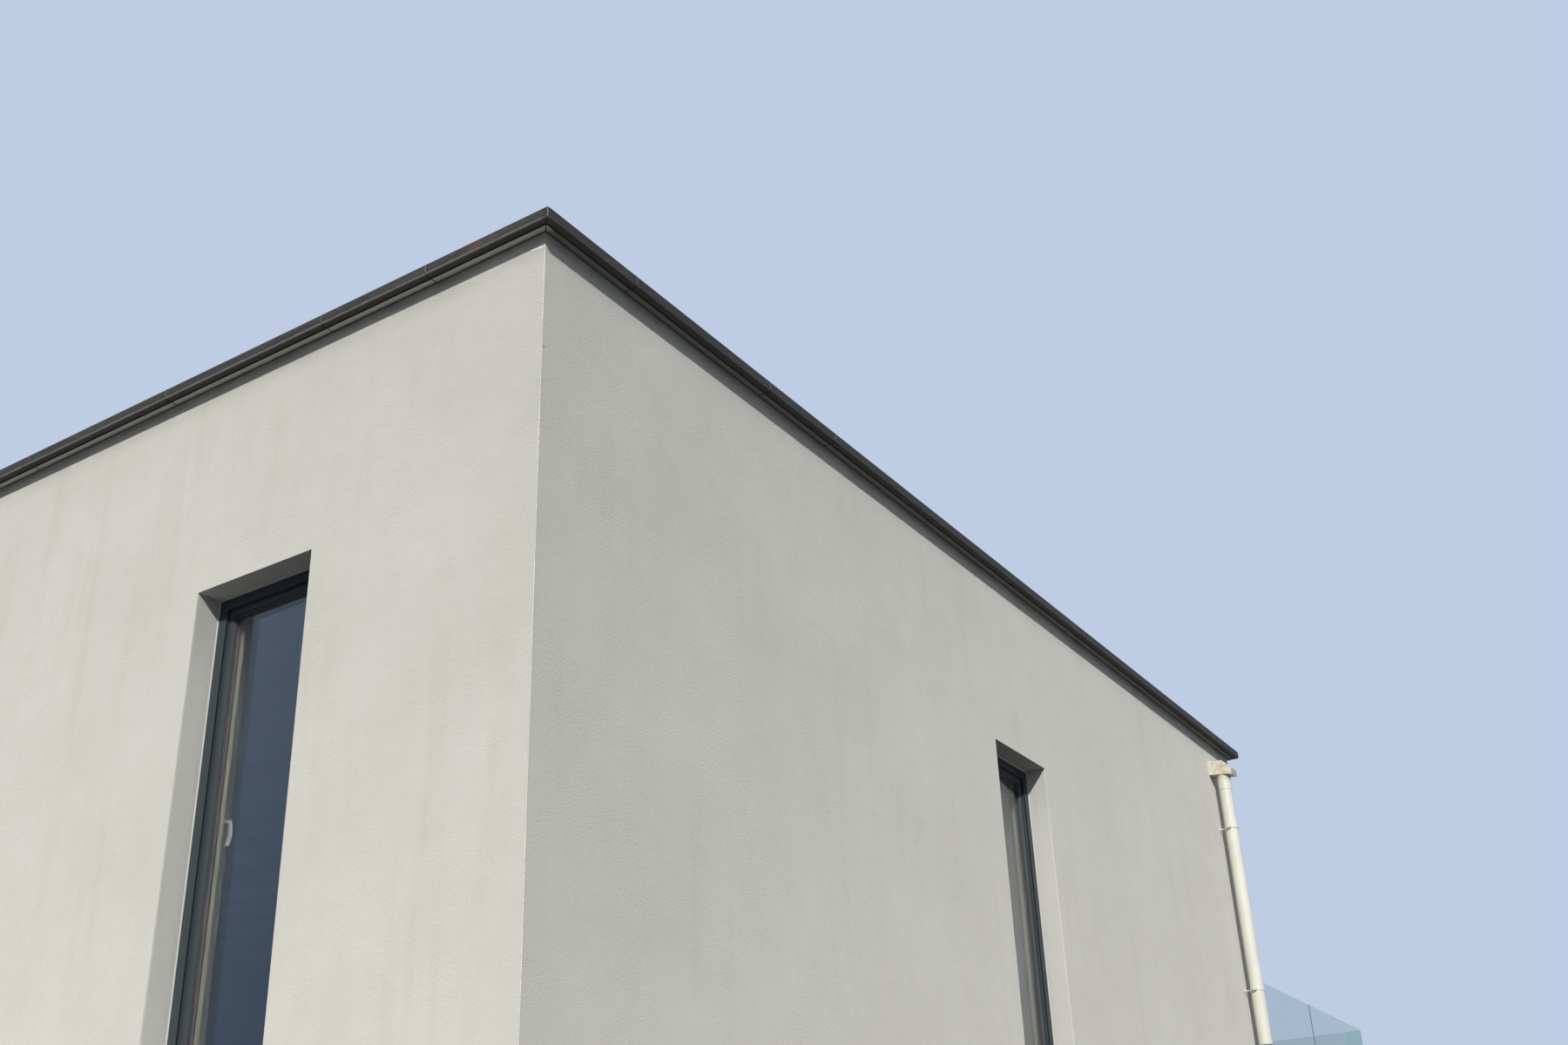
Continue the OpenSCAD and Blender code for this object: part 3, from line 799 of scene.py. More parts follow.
@dataclass(frozen=True)
class MortarFinish(Finish):
    """Pale sandy mortar."""

    name: str = "joint_mortar"
    tone: tuple = shade(136, 134, 128)
    dark: tuple = shade(96, 94, 89)

    def shader(self, tree: FinishTree) -> Wire:
        """Sandy grains over darker patches."""
        grain = tree.grain(scale=700.0, coarse=0.4)
        patches = tree.patches(scale=22.0, edge=0.3)
        colour = tree.layers(self.tone, (patches, 0.6, self.dark), (grain.step(0.45, 0.68), 1, self.dark))
        return tree.surface(colour, 0.95, grain, 0.5 * MM)


@dataclass(frozen=True)
class BeadFinish(Finish):
    """Coated nosing of the render's corner, yellowed, with grey where grit has rubbed it."""

    name: str = "corner_nosing"
    tone: tuple = shade(226, 224, 211)
    dark: tuple = shade(200, 198, 187)
    faded: tuple = shade(204, 203, 194)

    def shader(self, tree: FinishTree) -> Wire:
        """Small grey dots along a pale line, with faded stretches."""
        dots = tree.noise(75, 3, 0.6).step(0.52, 0.62)
        stretches = tree.noise(4.5, 3).step(0.44, 0.58)
        colour = tree.layers(self.tone, (dots, 1, self.dark), (stretches, 0.85, self.faded))
        return tree.surface(colour, 0.8, tree.grain(scale=500.0), 0.4 * MM)


@dataclass(frozen=True)
class FrameFinish(Finish):
    """Satin powder coat, dark blue-grey outside and cream on the room side."""

    name: str = "window_frame_coat"
    outside: tuple = shade(61, 70, 74)
    room: tuple = shade(132, 128, 112)
    dust: tuple = shade(104, 107, 106)
    seal: tuple = shade(24, 26, 29)
    bevel: Span = (0.80, 0.74)

    def shader(self, tree: FinishTree) -> Wire:
        """Orange-peel coat with dust on what looks up, and a dark seal in the lip's bevel."""
        cloud = tree.patches(scale=5.0, edge=0.5)
        normal = tree.add("VectorMath", {0: tree.facing()}, operation="ABSOLUTE")
        nx, ny, nz = normal.parts()
        steepest = tree.math("MAXIMUM", nx, tree.math("MAXIMUM", ny, nz))
        seal = steepest.step(*self.bevel)
        colour = tree.layers(
            self.outside,
            (cloud, 0.12, self.dust),
            (tree.streaks(width=40.0, level=0.55), 0.10, self.dust),
            (tree.dust(scale=30.0, amount=0.7), 1, self.dust),
            (seal, 1, self.seal),
            (WALL_DEPTH.put(tree)[1], 1, self.room),
        )
        rough = seal.between(cloud.between(0.36, 0.48), 0.8)
        return tree.surface(colour, rough, tree.grain(scale=900.0), 0.06 * MM, Specular_IOR_Level=0.1)


@dataclass(frozen=True)
class GlassFinish(Finish):
    """Clear glass that lets the lamps through."""

    name: str = "clear_sheet_glass"
    tint: tuple = (0.955, 0.975, 0.985, 1.0)
    gleam: tuple = (0.15, 0.25, 0.42, 1.0)
    let_through: tuple = (0.76, 0.78, 0.78, 1.0)
    waviness: float = 0.3 * MM
    index: float = 1.5

    def shader(self, tree: FinishTree) -> Wire:
        """A glass shader whose surface is very slightly wavy; shadow rays pass."""
        glass = tree.surface(self.tint, 0.0, tree.noise(2.2, 1), self.waviness, IOR=self.index,
                             Transmission_Weight=1.0, Specular_Tint=self.gleam)
        return tree.letting_light_through(glass, self.let_through)


@dataclass(frozen=True)
class BalustradeFinish(GlassFinish):
    """Laminated glass, pale green at its edges."""

    name: str = "laminated_glass"
    tint: tuple = (0.66, 0.73, 0.715, 1.0)
    edge: tuple = (0.42, 0.72, 0.62, 1.0)
    let_through: tuple = (0.90, 0.94, 0.93, 1.0)

    def shader(self, tree: FinishTree) -> Wire:
        """Glass whose narrow faces show the green of its depth."""
        nx, ny, _ = tree.facing().parts()
        on_side = abs(tree.place().parts()[0]).above(PLAN.right - PLAN.wall)
        rim = abs(on_side.between(ny, nx)).step(0.9, 0.5)
        haze = tree.streaks(width=26.0, level=0.5) * 0.06
        glass = tree.surface(tree.mix(rim, self.tint, self.edge), haze, None, 0.0, IOR=self.index,
                             Transmission_Weight=1.0)
        return tree.letting_light_through(glass, self.let_through)


@dataclass(frozen=True)
class MetalFinish(Finish):
    """Anodised or brushed aluminium, dusty where it looks up."""

    tone: tuple = shade(196, 198, 202)
    dark: tuple = shade(150, 152, 156)
    dust: tuple = shade(168, 164, 152)
    rough: float = 0.36
    dirt: float = 0.5
    metallic: float = 1.0

    def shader(self, tree: FinishTree) -> Wire:
        """Brushed lines along the metal, with rainwater marks and dust."""
        lines = tree.noise(1.0, 2, place=tree.place().scaled((6, 6, 900)))
        dust = tree.dust(scale=14.0, amount=self.dirt)
        colour = tree.layers(self.tone, (tree.patches(scale=8.0), 0.4, self.dark), (dust, 1, self.dust))
        rough = dust.between(lines * 0.12 + self.rough, 0.8)
        return tree.surface(colour, rough, lines, 0.02 * MM, Metallic=dust.between(self.metallic, 0.0))


@dataclass(frozen=True)
class PipeFinish(Finish):
    """Cream moulded plastic, glossy, stained under and on the outlet box."""

    name: str = "cream_pipe_plastic"
    tone: tuple = shade(232, 230, 216)
    worn: tuple = shade(206, 204, 190)
    stain: tuple = shade(186, 160, 104)
    brown: tuple = shade(112, 84, 54)
    silt: tuple = shade(160, 150, 118)
    stain_reach: Point = (0.16, 0.12, 0.13)
    run_at: Span = (10 * MM, 12 * MM)
    run_reach: Point = (55 * MM, 20 * MM, 6 * MM)
    dot_at: Span = (35 * MM, 22 * MM)
    dot_reach: Point = (7 * MM, 10 * MM, 7 * MM)
    lip: Span = (12 * MM, 3 * MM)
    foot: Span = (30 * MM, 22 * MM)

    def shader(self, tree: FinishTree) -> Wire:
        """Slight chalking, yellow stains near the box and a brown run on its side."""
        box = Box.of_node("outlet_box")
        x, _, z = tree.place().parts()
        grain = tree.grain(scale=260.0, coarse=0.4)
        cloud = tree.patches(scale=6.0, edge=0.45)
        patches = tree.patches(scale=26.0, edge=0.18)
        near_box = tree.near(tuple(box.centre), self.stain_reach, 0.7)
        run_at = (box.centre.x + self.run_at[0], box.low.y, box.centre.z + self.run_at[1])
        dot_at = (box.low.x + self.dot_at[0], box.low.y, box.high.z - self.dot_at[1])
        lip = x.step(*(box.high.x - inward for inward in self.lip))
        under = z.step(*(box.low.z + up for up in self.foot)) * near_box
        colour = tree.layers(
            self.tone,
            (cloud, 0.5, self.worn),
            (tree.streaks(width=60.0, level=0.48), 0.22, self.stain),
            (near_box * patches, 0.6, self.stain),
            (tree.near(run_at, self.run_reach, 0.8) * grain.step(0.38, 0.5), 0.85, self.brown),
            (tree.near(dot_at, self.dot_reach, 0.4), 0.9, self.brown),
            (lip * patches.between(0.55, 0.9), 1, self.silt),
            (under * patches.between(0.2, 0.7), 1, self.silt),
            (tree.dust(scale=20.0, amount=0.6), 1, self.worn),
        )
        return tree.surface(colour, cloud.between(0.26, 0.42), grain, 0.08 * MM, Coat_Weight=0.15)


@dataclass(frozen=True)
class PlasticFinish(Finish):
    """White extruded plastic, dusty where it looks up."""

    tone: tuple = shade(226, 226, 222)
    worn: tuple = shade(196, 195, 188)

    def shader(self, tree: FinishTree) -> Wire:
        """Cloudy fading and a fine drawn grain."""
        faded = tree.math("MAXIMUM", tree.patches(scale=9.0) * 0.5, tree.dust(scale=20.0, amount=0.6))
        colour = tree.mix(faded, self.tone, self.worn)
        return tree.surface(colour, 0.55, tree.grain(scale=640.0), 0.1 * MM)


@dataclass(frozen=True)
class RubberFinish(Finish):
    """Matt rubber with pale dust in its pores."""

    tone: tuple = shade(94, 100, 94)
    dust: tuple = shade(140, 142, 132)

    def shader(self, tree: FinishTree) -> Wire:
        """Pores and dusty patches."""
        colour = tree.layers(self.tone, (tree.patches(scale=18.0, level=0.52), 0.35, self.dust))
        return tree.surface(colour, 0.75, tree.grain(scale=500.0), 0.15 * MM)


@dataclass(frozen=True)
class MembraneFinish(Finish):
    """Dark roofing membrane with fine mineral granules and dried puddles."""

    name: str = "granule_membrane"
    tone: tuple = shade(84, 85, 86)
    pale: tuple = shade(132, 131, 126)
    silt: tuple = shade(112, 106, 92)
    bitumen: tuple = shade(40, 40, 41)
    course: float = 0.92
    wander: float = 18 * MM
    seam_before: Span = (14 * MM, 8 * MM)
    seam_after: Span = (12 * MM, 8 * MM)
    seam_level: Span = (10 * MM, 8 * MM)

    def shader(self, tree: FinishTree) -> Wire:
        """Granules, cloudy fading and silt rings, and the bitumen that has run out of the laps."""
        cover = Box.of_node("roof_cover")
        _, y, z = tree.place().parts()
        light = tree.cells(420, "Color").parts()[0]
        puddle = tree.noise(0.75, 4, 0.55)
        ring = puddle.step(0.46, 0.52) * puddle.step(0.60, 0.53)
        along = y - cover.low.y + tree.noise(14, 3) * self.wander
        past = tree.math("FLOORED_MODULO", along, self.course)
        before = past.step(*(self.course - back for back in self.seam_before))
        seam = tree.math("MAXIMUM", before, past.step(*self.seam_after))
        seam = seam * z.step(*(cover.high.z + up for up in self.seam_level))
        colour = tree.layers(
            self.tone,
            (light, 0.32, self.pale),
            (tree.patches(scale=1.1, edge=0.5), 0.35, self.pale),
            (ring, 0.4, self.silt),
            (seam, 0.8, self.bitumen),
        )
        return tree.surface(colour, seam.between(0.88, 0.6), light, 0.5 * MM)


@dataclass(frozen=True)
class StoneFinish(Finish):
    """Concrete or pressed stone with aggregate and patches."""

    tone: tuple
    pale: tuple = shade(196, 193, 184)
    dark: tuple = shade(122, 119, 111)
    grains: float = 260.0
    relief: float = 0.4 * MM

    def shader(self, tree: FinishTree) -> Wire:
        """Aggregate of two tones, cloudy patches and a few pores."""
        aggregate = tree.cells(self.grains, "Color").parts()[1]
        pores = tree.cells(48, "Distance").step(0.16, 0.06)
        colour = tree.layers(
            self.tone,
            (aggregate, 0.4, self.pale),
            (tree.patches(scale=2.6), 0.4, self.dark),
            (pores, 0.6, self.dark),
        )
        return tree.surface(colour, 0.9, aggregate * 0.5 - pores, self.relief)


RENDER, COPING, MORTAR, BEAD = RenderFinish(), CopingFinish(), MortarFinish(), BeadFinish()
FRAME, PANE, RAIL_GLASS = FrameFinish(), GlassFinish(), BalustradeFinish()
PIPE, MEMBRANE = PipeFinish(), MembraneFinish()
SILL = MetalFinish("sill_aluminium")
HANDLE = MetalFinish("handle_aluminium", tone=shade(180, 181, 178), dark=shade(160, 161, 159),
                     rough=0.35, dirt=0.15, metallic=0.2)
SPACER = MetalFinish("spacer_aluminium", tone=shade(66, 59, 61), dark=shade(44, 40, 42),
                     rough=0.75, dirt=0.0, metallic=0.2)
STRIP = PlasticFinish("white_strip_plastic")
COLLAR = RubberFinish("grey_collar_rubber")
GASKET = RubberFinish("black_gasket_rubber", tone=shade(34, 35, 36), dust=shade(62, 62, 60))
CONCRETE = StoneFinish("bare_concrete", tone=shade(158, 156, 150))
PAVING = StoneFinish("pressed_paving_stone", tone=shade(164, 160, 150), grains=420.0)


class Piece:
    """A mesh under construction, which becomes one named piece of the house."""

    def __init__(self, name: str, finish: Finish, slot: str) -> None:
        """Starts an empty piece with its finish and record slot."""
        self.name, self.finish, self.slot = name, finish, slot
        self.mesh = bmesh.new()

    def loft(self, rings: Sequence[Sequence[Vector]], closed: bool = False) -> None:
        """Adds a solid through a row of outlines with equally many points.

        Args:
            rings: Outlines, each a list of points in the same order.
            closed: Whether the last outline joins the first, and no ends are capped.
        """
        count = len(rings[0])
        verts = [self.mesh.verts.new(point) for ring in rings for point in ring]
        faces: list[Iterable[int]] = []
        for row in range(len(rings) if closed else len(rings) - 1):
            here, there = row * count, (row + 1) % len(rings) * count
            for index in range(count):
                after = (index + 1) % count
                faces.append((here + index, here + after, there + after, there + index))
        if not closed:
            faces += [range(count - 1, -1, -1), range(len(verts) - count, len(verts))]
        for face in faces:
            self.mesh.faces.new([verts[index] for index in face])

    def prism(self, outline: Sequence[Vector], way: Vector) -> None:
        """Adds a flat outline drawn out along a direction."""
        self.loft([list(outline), [point + way for point in outline]])

    def slab(self, low: Vector, high: Vector, chamfer: float = 0.0) -> None:
        """Adds an upright box whose edges are chamfered.

        Args:
            low: Lowest corner.
            high: Highest corner.
            chamfer: Width of the chamfers; 0 leaves the edges sharp.
        """
        made = bmesh.ops.create_cube(self.mesh, size=1.0)["verts"]
        size, centre = high - low, (low + high) / 2
        for vert in made:
            vert.co = Vector(vert.co[axis] * size[axis] + centre[axis] for axis in range(3))
        if chamfer > 0:
            edges = list({edge for vert in made for edge in vert.link_edges})
            bmesh.ops.bevel(self.mesh, geom=edges, offset=chamfer, segments=1, affect="EDGES",
                            clamp_overlap=True)

    def finish_piece(self, replaced: Sequence[str] = (), smooth: bool = False) -> None:
        """Turns the mesh into a piece that rides on the house.

        Args:
            replaced: Frame nodes that the piece stands for.
            smooth: Whether its faces are shaded smooth.
        """
        bmesh.ops.recalc_face_normals(self.mesh, faces=self.mesh.faces)
        data = bpy.data.meshes.new(self.name)
        self.mesh.to_mesh(data)
        self.mesh.free()
        data.polygons.foreach_set("use_smooth", [smooth] * len(data.polygons))
        data.materials.append(self.finish.material())
        piece = new_object(self.name, data)
        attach(piece, BODY)
        if replaced:
            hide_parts(*replaced)
        LOG.info("%s: %d faces", self.name, len(data.polygons))


@dataclass
class Fabric:
    """The frame's own solids, each given its finish."""

    finishes: dict[str, Finish] = field(default_factory=lambda: {
        "_wall": RENDER, "_coping": COPING, "_frames": FRAME, "_sashes": FRAME,
        "entrance_": FRAME, "terrace_door_frame": FRAME, "terrace_door_leaf": FRAME,
        "window_sills": SILL, "window_handles": HANDLE, "door_handles": HANDLE,
        "balustrade_channel": SILL, "balustrade_glass": RAIL_GLASS,
        "outlet_box": PIPE, "downpipe": PIPE, "pipe_brackets": PIPE, "pipe_collar": COLLAR,
        "ground_floor": CONCRETE, "first_floor": CONCRETE, "roof_slab": CONCRETE,
        "roof_cover": MEMBRANE, "terrace_paving": PAVING,
        "_panes": PANE, "terrace_door_pane": PANE,
    })

    def dress(self) -> None:
        """Gives each node of the frame its material."""
        for node, piece in sorted(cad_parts.items()):
            finish = next(finish for key, finish in self.finishes.items() if key in node)
            piece.data.materials.clear()
            piece.data.materials.append(finish.material())
            LOG.info("%s: %s", node, finish.name)


@dataclass
class Glazing:
    """Sealed glass units of one node: two sheets, a spacer between them and gaskets."""

    node: str
    sheet: float = 4 * MM
    arris: float = 0.6 * MM
    spacer_in: float = 7 * MM
    spacer_edge: float = 13.5 * MM
    groove: float = 0.8 * MM
    cover: float = 9 * MM
    gasket_w: float = 4.5 * MM
    gasket_h: float = 6 * MM
    wedge: tuple[Span, ...] = ((0, 0), (1, 0), (0.8, 0.45), (0.3, 1), (0, 1))

    def build(self) -> None:
        """Makes the sheets, spacers and gaskets, in place of the node's plain panes."""
        stem = self.node.replace("_panes", "").replace("_pane", "")
        sheets = Piece(f"{stem}_glass_sheets", PANE, "window_glass")
        spacers = Piece(f"{stem}_spacers", SPACER, "handle_metal")
        gaskets = Piece(f"{stem}_gaskets", GASKET, "collar_rubber")
        for pane in solids_of(self.node):
            low, high = pane.low[pane.thin_axis], pane.high[pane.thin_axis]
            self.add_sheets(sheets, pane)
            self.add_spacer(spacers, pane, low + self.sheet, high - self.sheet)
            for face, away in ((low, -1.0), (high, 1.0)):
                reach = away * self.gasket_h
                self.ring(gaskets, pane, [(self.cover + self.gasket_w * wide, face + reach * tall)
                                          for wide, tall in self.wedge])
        sheets.finish_piece(replaced=(self.node,))
        spacers.finish_piece()
        gaskets.finish_piece()

    def add_sheets(self, piece: Piece, pane: Box) -> None:
        """Adds the two sheets of glass of one unit.

        Args:
            piece: Piece that takes them.
            pane: Box of the whole unit.
        """
        axis = pane.thin_axis
        low, high = pane.low[axis], pane.high[axis]
        for start, end in ((low, low + self.sheet), (high - self.sheet, high)):
            first, last = pane.low.copy(), pane.high.copy()
            first[axis], last[axis] = start, end
            piece.slab(first, last, self.arris)

    def ring(self, piece: Piece, pane: Box, section: Sequence[Span]) -> None:
        """Adds a ring round the pane.

        Args:
            piece: Piece that takes it.
            pane: Box of the whole unit.
            section: The ring's section, as pairs of inset from the pane's edge and depth.
        """
        axis = pane.thin_axis
        low, high = (pane.low, 1), (pane.high, -1)
        piece.loft([
            [spot(axis, depth, side[1 - axis] + inward * inset, end.z + up * inset)
             for inset, depth in section]
            for (side, inward), (end, up) in ((low, low), (high, low), (high, high), (low, high))
        ], closed=True)

    def add_spacer(self, piece: Piece, pane: Box, low: float, high: float) -> None:
        """Adds the bar between the sheets, with a shallow groove along its middle.

        Args:
            piece: Piece that takes it.
            pane: Box of the whole unit.
            low: Inner face of the first sheet.
            high: Inner face of the second sheet.
        """
        middle, dip, edge = (low + high) / 2, self.groove, self.spacer_edge
        self.ring(piece, pane, [
            (self.spacer_in, low), (edge, low), (edge, middle - 2 * dip), (edge - dip, middle - dip),
            (edge - dip, middle + dip), (edge, middle + 2 * dip), (edge, high), (self.spacer_in, high),
        ])


@dataclass
class RevealBeads:
    """Narrow white strips that seal the render's reveals to the window frames of one node."""

    node: str
    width: float = 3.5 * MM
    depth: float = 5 * MM
    arris: float = 0.5 * MM

    def build(self) -> None:
        """Makes a strip up both jambs and across the head of each window."""
        stem = self.node.replace("_frames", "").replace("_frame", "")
        piece = Piece(stem + "_reveal_beads", STRIP, "pipe_plastic")
        for window in solids_of(self.node):
            self.add_window(piece, window)
        piece.finish_piece()

    def add_window(self, piece: Piece, window: Box) -> None:
        """Adds the three strips of one window, on the outer face of its frame.

        Args:
            piece: Piece that takes them.
            window: Box of the frame.
        """
        axis = window.thin_axis
        other = 1 - axis
        outward = 1 if window.centre[axis] > 0 else -1
        face = (window.high if outward > 0 else window.low)[axis]
        near, far = sorted((face, face + outward * self.depth))
        left, right, foot, top = window.low[other], window.high[other], window.low.z, window.high.z
        for start, end, bottom in (
            (left, left + self.width, foot), (right - self.width, right, foot),
            (left + self.width, right - self.width, top - self.width),
        ):
            piece.slab(spot(axis, near, start, bottom), spot(axis, far, end, top), self.arris)


@dataclass
class CopingJoints:
    """Mortar in the joints of the copings."""

    recess: float = 1.2 * MM
    fall: float = 6 * MM
    mitre_gap: float = 4.2 * MM
    mitre_recess: float = 1.5 * MM
    foot: float = 12 * MM
    pointing: float = 11 * MM
    chamfer: float = 4 * MM
    widest: float = 20 * MM
    out_of_line: float = 10 * MM

    def build(self) -> None:
        """Fills the straight joints of each run and the mitres at the corners."""
        piece = Piece("coping_mortar", MORTAR, "render")
        for node in ("front_coping", "right_coping", "back_coping", "left_coping", "terrace_coping"):
            stones = solids_of(node)
            for first in stones:
                for second in stones:
                    for axis in (0, 1):
                        if self.meet(first, second, axis):
                            self.add_joint(piece, first, second, axis)
        front, back, rear = (Box.of_node(f"{run}_coping") for run in ("front", "back", "terrace"))
        side = Box.of_node("right_coping").high.x
        corners = [(x, y, front) for x in (-side, side) for y in (front.low.y, back.high.y)]
        corners += [(x, rear.high.y, rear) for x in (-side, side)]
        for x, y, run in corners:
            self.add_mitre(piece, x, y, run.low.z, run.high.z)
        piece.finish_piece()

    def meet(self, first: Box, second: Box, axis: int) -> bool:
        """Whether the second stone follows the first in one run along an axis.

        Args:
            first: Box of one stone.
            second: Box of the other.
            axis: Axis of the run.

        Returns:
            True where only a narrow joint lies between their ends.
        """
        other = 1 - axis
        in_line = all(abs(one[other] - two[other]) < self.out_of_line
                      for one, two in ((first.low, second.low), (first.high, second.high)))
        return in_line and 0 < second.low[axis] - first.high[axis] < self.widest

    def add_joint(self, piece: Piece, first: Box, second: Box, axis: int) -> None:
        """Adds the mortar between two stones of a run.

        Args:
            piece: Piece that takes it.
            first: Box of the stone before the joint.
            second: Box of the stone after it.
            axis: Axis of the run.
        """
        other = 1 - axis
        start, end = first.high[axis], second.low[axis]
        sides = first.low[other] + self.recess, first.high[other] - self.recess
        outer = int(first.centre[other] > 0)
        outline = []
        for at_high, at_top in ((0, 0), (1, 0), (1, 1), (0, 1)):
            top = first.high.z - self.recess - (0 if at_high == outer else self.fall)
            outline.append(spot(axis, start, sides[at_high], top if at_top else first.low.z + self.foot))
        piece.prism(outline, spot(axis, end - start, 0, 0))

    def add_mitre(self, piece: Piece, x: float, y: float, low: float, high: float) -> None:
        """Adds the mortar of a mitre: a pointed face as deep as the stone, and the bed behind it.

        Args:
            piece: Piece that takes it.
            x: X of the coping's corner.
            y: Y of the corner.
            low: Level of the stones' underside.
            high: Level of their upper outer edge.
        """
        inward = Vector((-math.copysign(1, x), -math.copysign(1, y), 0)).normalized()
        across = Vector((-inward.y, inward.x, 0)) * self.mitre_gap / 2
        depth = (Box.of_node("front_coping").size.y - 2 * self.recess) * math.sqrt(2)
        start = Vector((x, y, 0)) + inward * self.mitre_recess * math.sqrt(2)
        foot, bed, top = low + self.recess, low + self.foot, high - self.recess
        section = (
            (0, foot + self.chamfer), (self.chamfer, foot), (self.pointing, foot), (self.pointing, bed),
            (depth, bed), (depth, top - self.fall), (self.chamfer, top), (0, top - self.chamfer),
        )
        outline = [start + inward * reach - across + Vector((0, 0, level)) for reach, level in section]
        piece.prism(outline, across * 2)


@dataclass
class CornerNosing:
    """Nosing that the render is drawn up to at each outer corner."""

    radius: float = 2.4 * MM
    proud: float = 0.9 * MM
    wobble: float = 0.3 * MM
    waves: float = 60.0
    pitch: float = 14 * MM
    below_coping: float = 62 * MM
    sides: int = 8

    def build(self) -> None:
        """Makes a nosing up each corner of the walls."""
        kerb_coping = Box.of_node("terrace_coping").high.z
        piece = Piece("corner_nosings", BEAD, "render")
        for y, low, top in ((PLAN.front, 0.0, PLAN.top), (PLAN.rear, 0.0, PLAN.kerb),
                            (PLAN.back, kerb_coping, PLAN.top)):
            for x in (PLAN.right, -PLAN.right):
                self.add_run(piece, x, y, low, top - self.below_coping)
        piece.finish_piece(smooth=True)

    def add_run(self, piece: Piece, x: float, y: float, low: float, high: float) -> None:
        """Adds one nosing, a little uneven along its length.

        Args:
            piece: Piece that takes it.
            x: X of the walls' corner.
            y: Y of the corner.
            low: Level of the nosing's foot.
            high: Level of its end.
        """
        sunk = self.radius - self.proud
        centre = Vector((x - math.copysign(sunk, x), y - math.copysign(sunk, y), 0))
        count = int((high - low) / self.pitch)
        rings = []
        for step in range(count + 1):
            z = low + (high - low) * step / count
            ring = []
            for corner in range(self.sides):
                angle = math.tau * corner / self.sides
                reach = self.radius + noise.noise(Vector((x + corner, y, z * self.waves))) * self.wobble
                ring.append(centre + Vector((math.cos(angle) * reach, math.sin(angle) * reach, z)))
            rings.append(ring)
        piece.loft(rings)


@dataclass
class RoofSurface:
    """Welded membrane sheets on the roof, with their upstands against the parapet."""

    sheet_w: float = 1.0
    lap: float = 0.08
    ramp: float = 12 * MM
    thick: float = 3 * MM
    upstand: float = 0.21
    upstand_t: float = 4.5 * MM
    outlet_h: float = 0.085
    bar_h: float = 0.03
    bar_t: float = 9 * MM
    bar_over: float = 4 * MM
    bar_arris: float = 0.8 * MM

    def build(self) -> None:
        """Lays the sheets over the roof and up the parapet, and clamps their upper edge."""
        cover = Box.of_node("roof_cover")
        sheets = Piece("membrane_sheets", MEMBRANE, "roof_membrane")
        course = self.sheet_w - self.lap
        for index in range(math.ceil(cover.size.y / course)):
            low = cover.low.y + index * course
            self.add_sheet(sheets, cover, low, min(low + self.sheet_w, cover.high.y), index > 0)
        head = cover.high.z + self.upstand
        outlet = Box.of_node("outlet_box")
        bars = Piece("clamping_bars", SILL, "sill_metal")
        for side in Side:
            turned_up = cover.strip(side, self.upstand_t, cover.high.z + self.thick, head)
            if side is Side.RIGHT:
                self.add_round_outlet(sheets, turned_up, outlet)
            else:
                sheets.slab(turned_up.low, turned_up.high)
            bar_top = head + self.bar_over
            bar = cover.strip(side, self.bar_t, bar_top - self.bar_h, bar_top)
            bars.slab(bar.low, bar.high, self.bar_arris)
        sheets.finish_piece()
        bars.finish_piece()

    def add_sheet(self, piece: Piece, cover: Box, low: float, high: float, lapped: bool) -> None:
        """Adds one sheet, whose first edge climbs over the sheet before it.

        Args:
            piece: Piece that takes it.
            cover: Box of the roof's cover.
            low: Y of the sheet's first edge.
            high: Y of its last edge.
            lapped: Whether there is a sheet before it.
        """
        z, t = cover.high.z, self.thick
        profile = [(low, z), (high, z), (high, z + t), (low, z + t)]
        if lapped:
            lap_end = low + self.lap
            profile = [
                (low, z + t), (lap_end, z + t), (lap_end + self.ramp, z), (high, z), (high, z + t),
                (lap_end + self.ramp, z + t), (lap_end, z + 2 * t), (low, z + 2 * t),
            ]
        outline = [Vector((cover.low.x, y, height)) for y, height in profile]
        piece.prism(outline, Vector((cover.size.x, 0, 0)))

    def add_round_outlet(self, piece: Piece, strip: Box, outlet: Box) -> None:
        """Adds the upstand on the outlet's side, which leaves the outlet open.

        Args:
            piece: Piece that takes it.
            strip: The whole upstand.
            outlet: Box of the outlet behind the parapet.
        """
        low, high = strip.low, strip.high
        for start, end, foot in ((low.y, outlet.low.y, low.z), (outlet.high.y, high.y, low.z),
                                 (outlet.low.y, outlet.high.y, PLAN.roof + self.outlet_h)):
            piece.slab(Vector((low.x, start, foot)), Vector((high.x, end, high.z)))


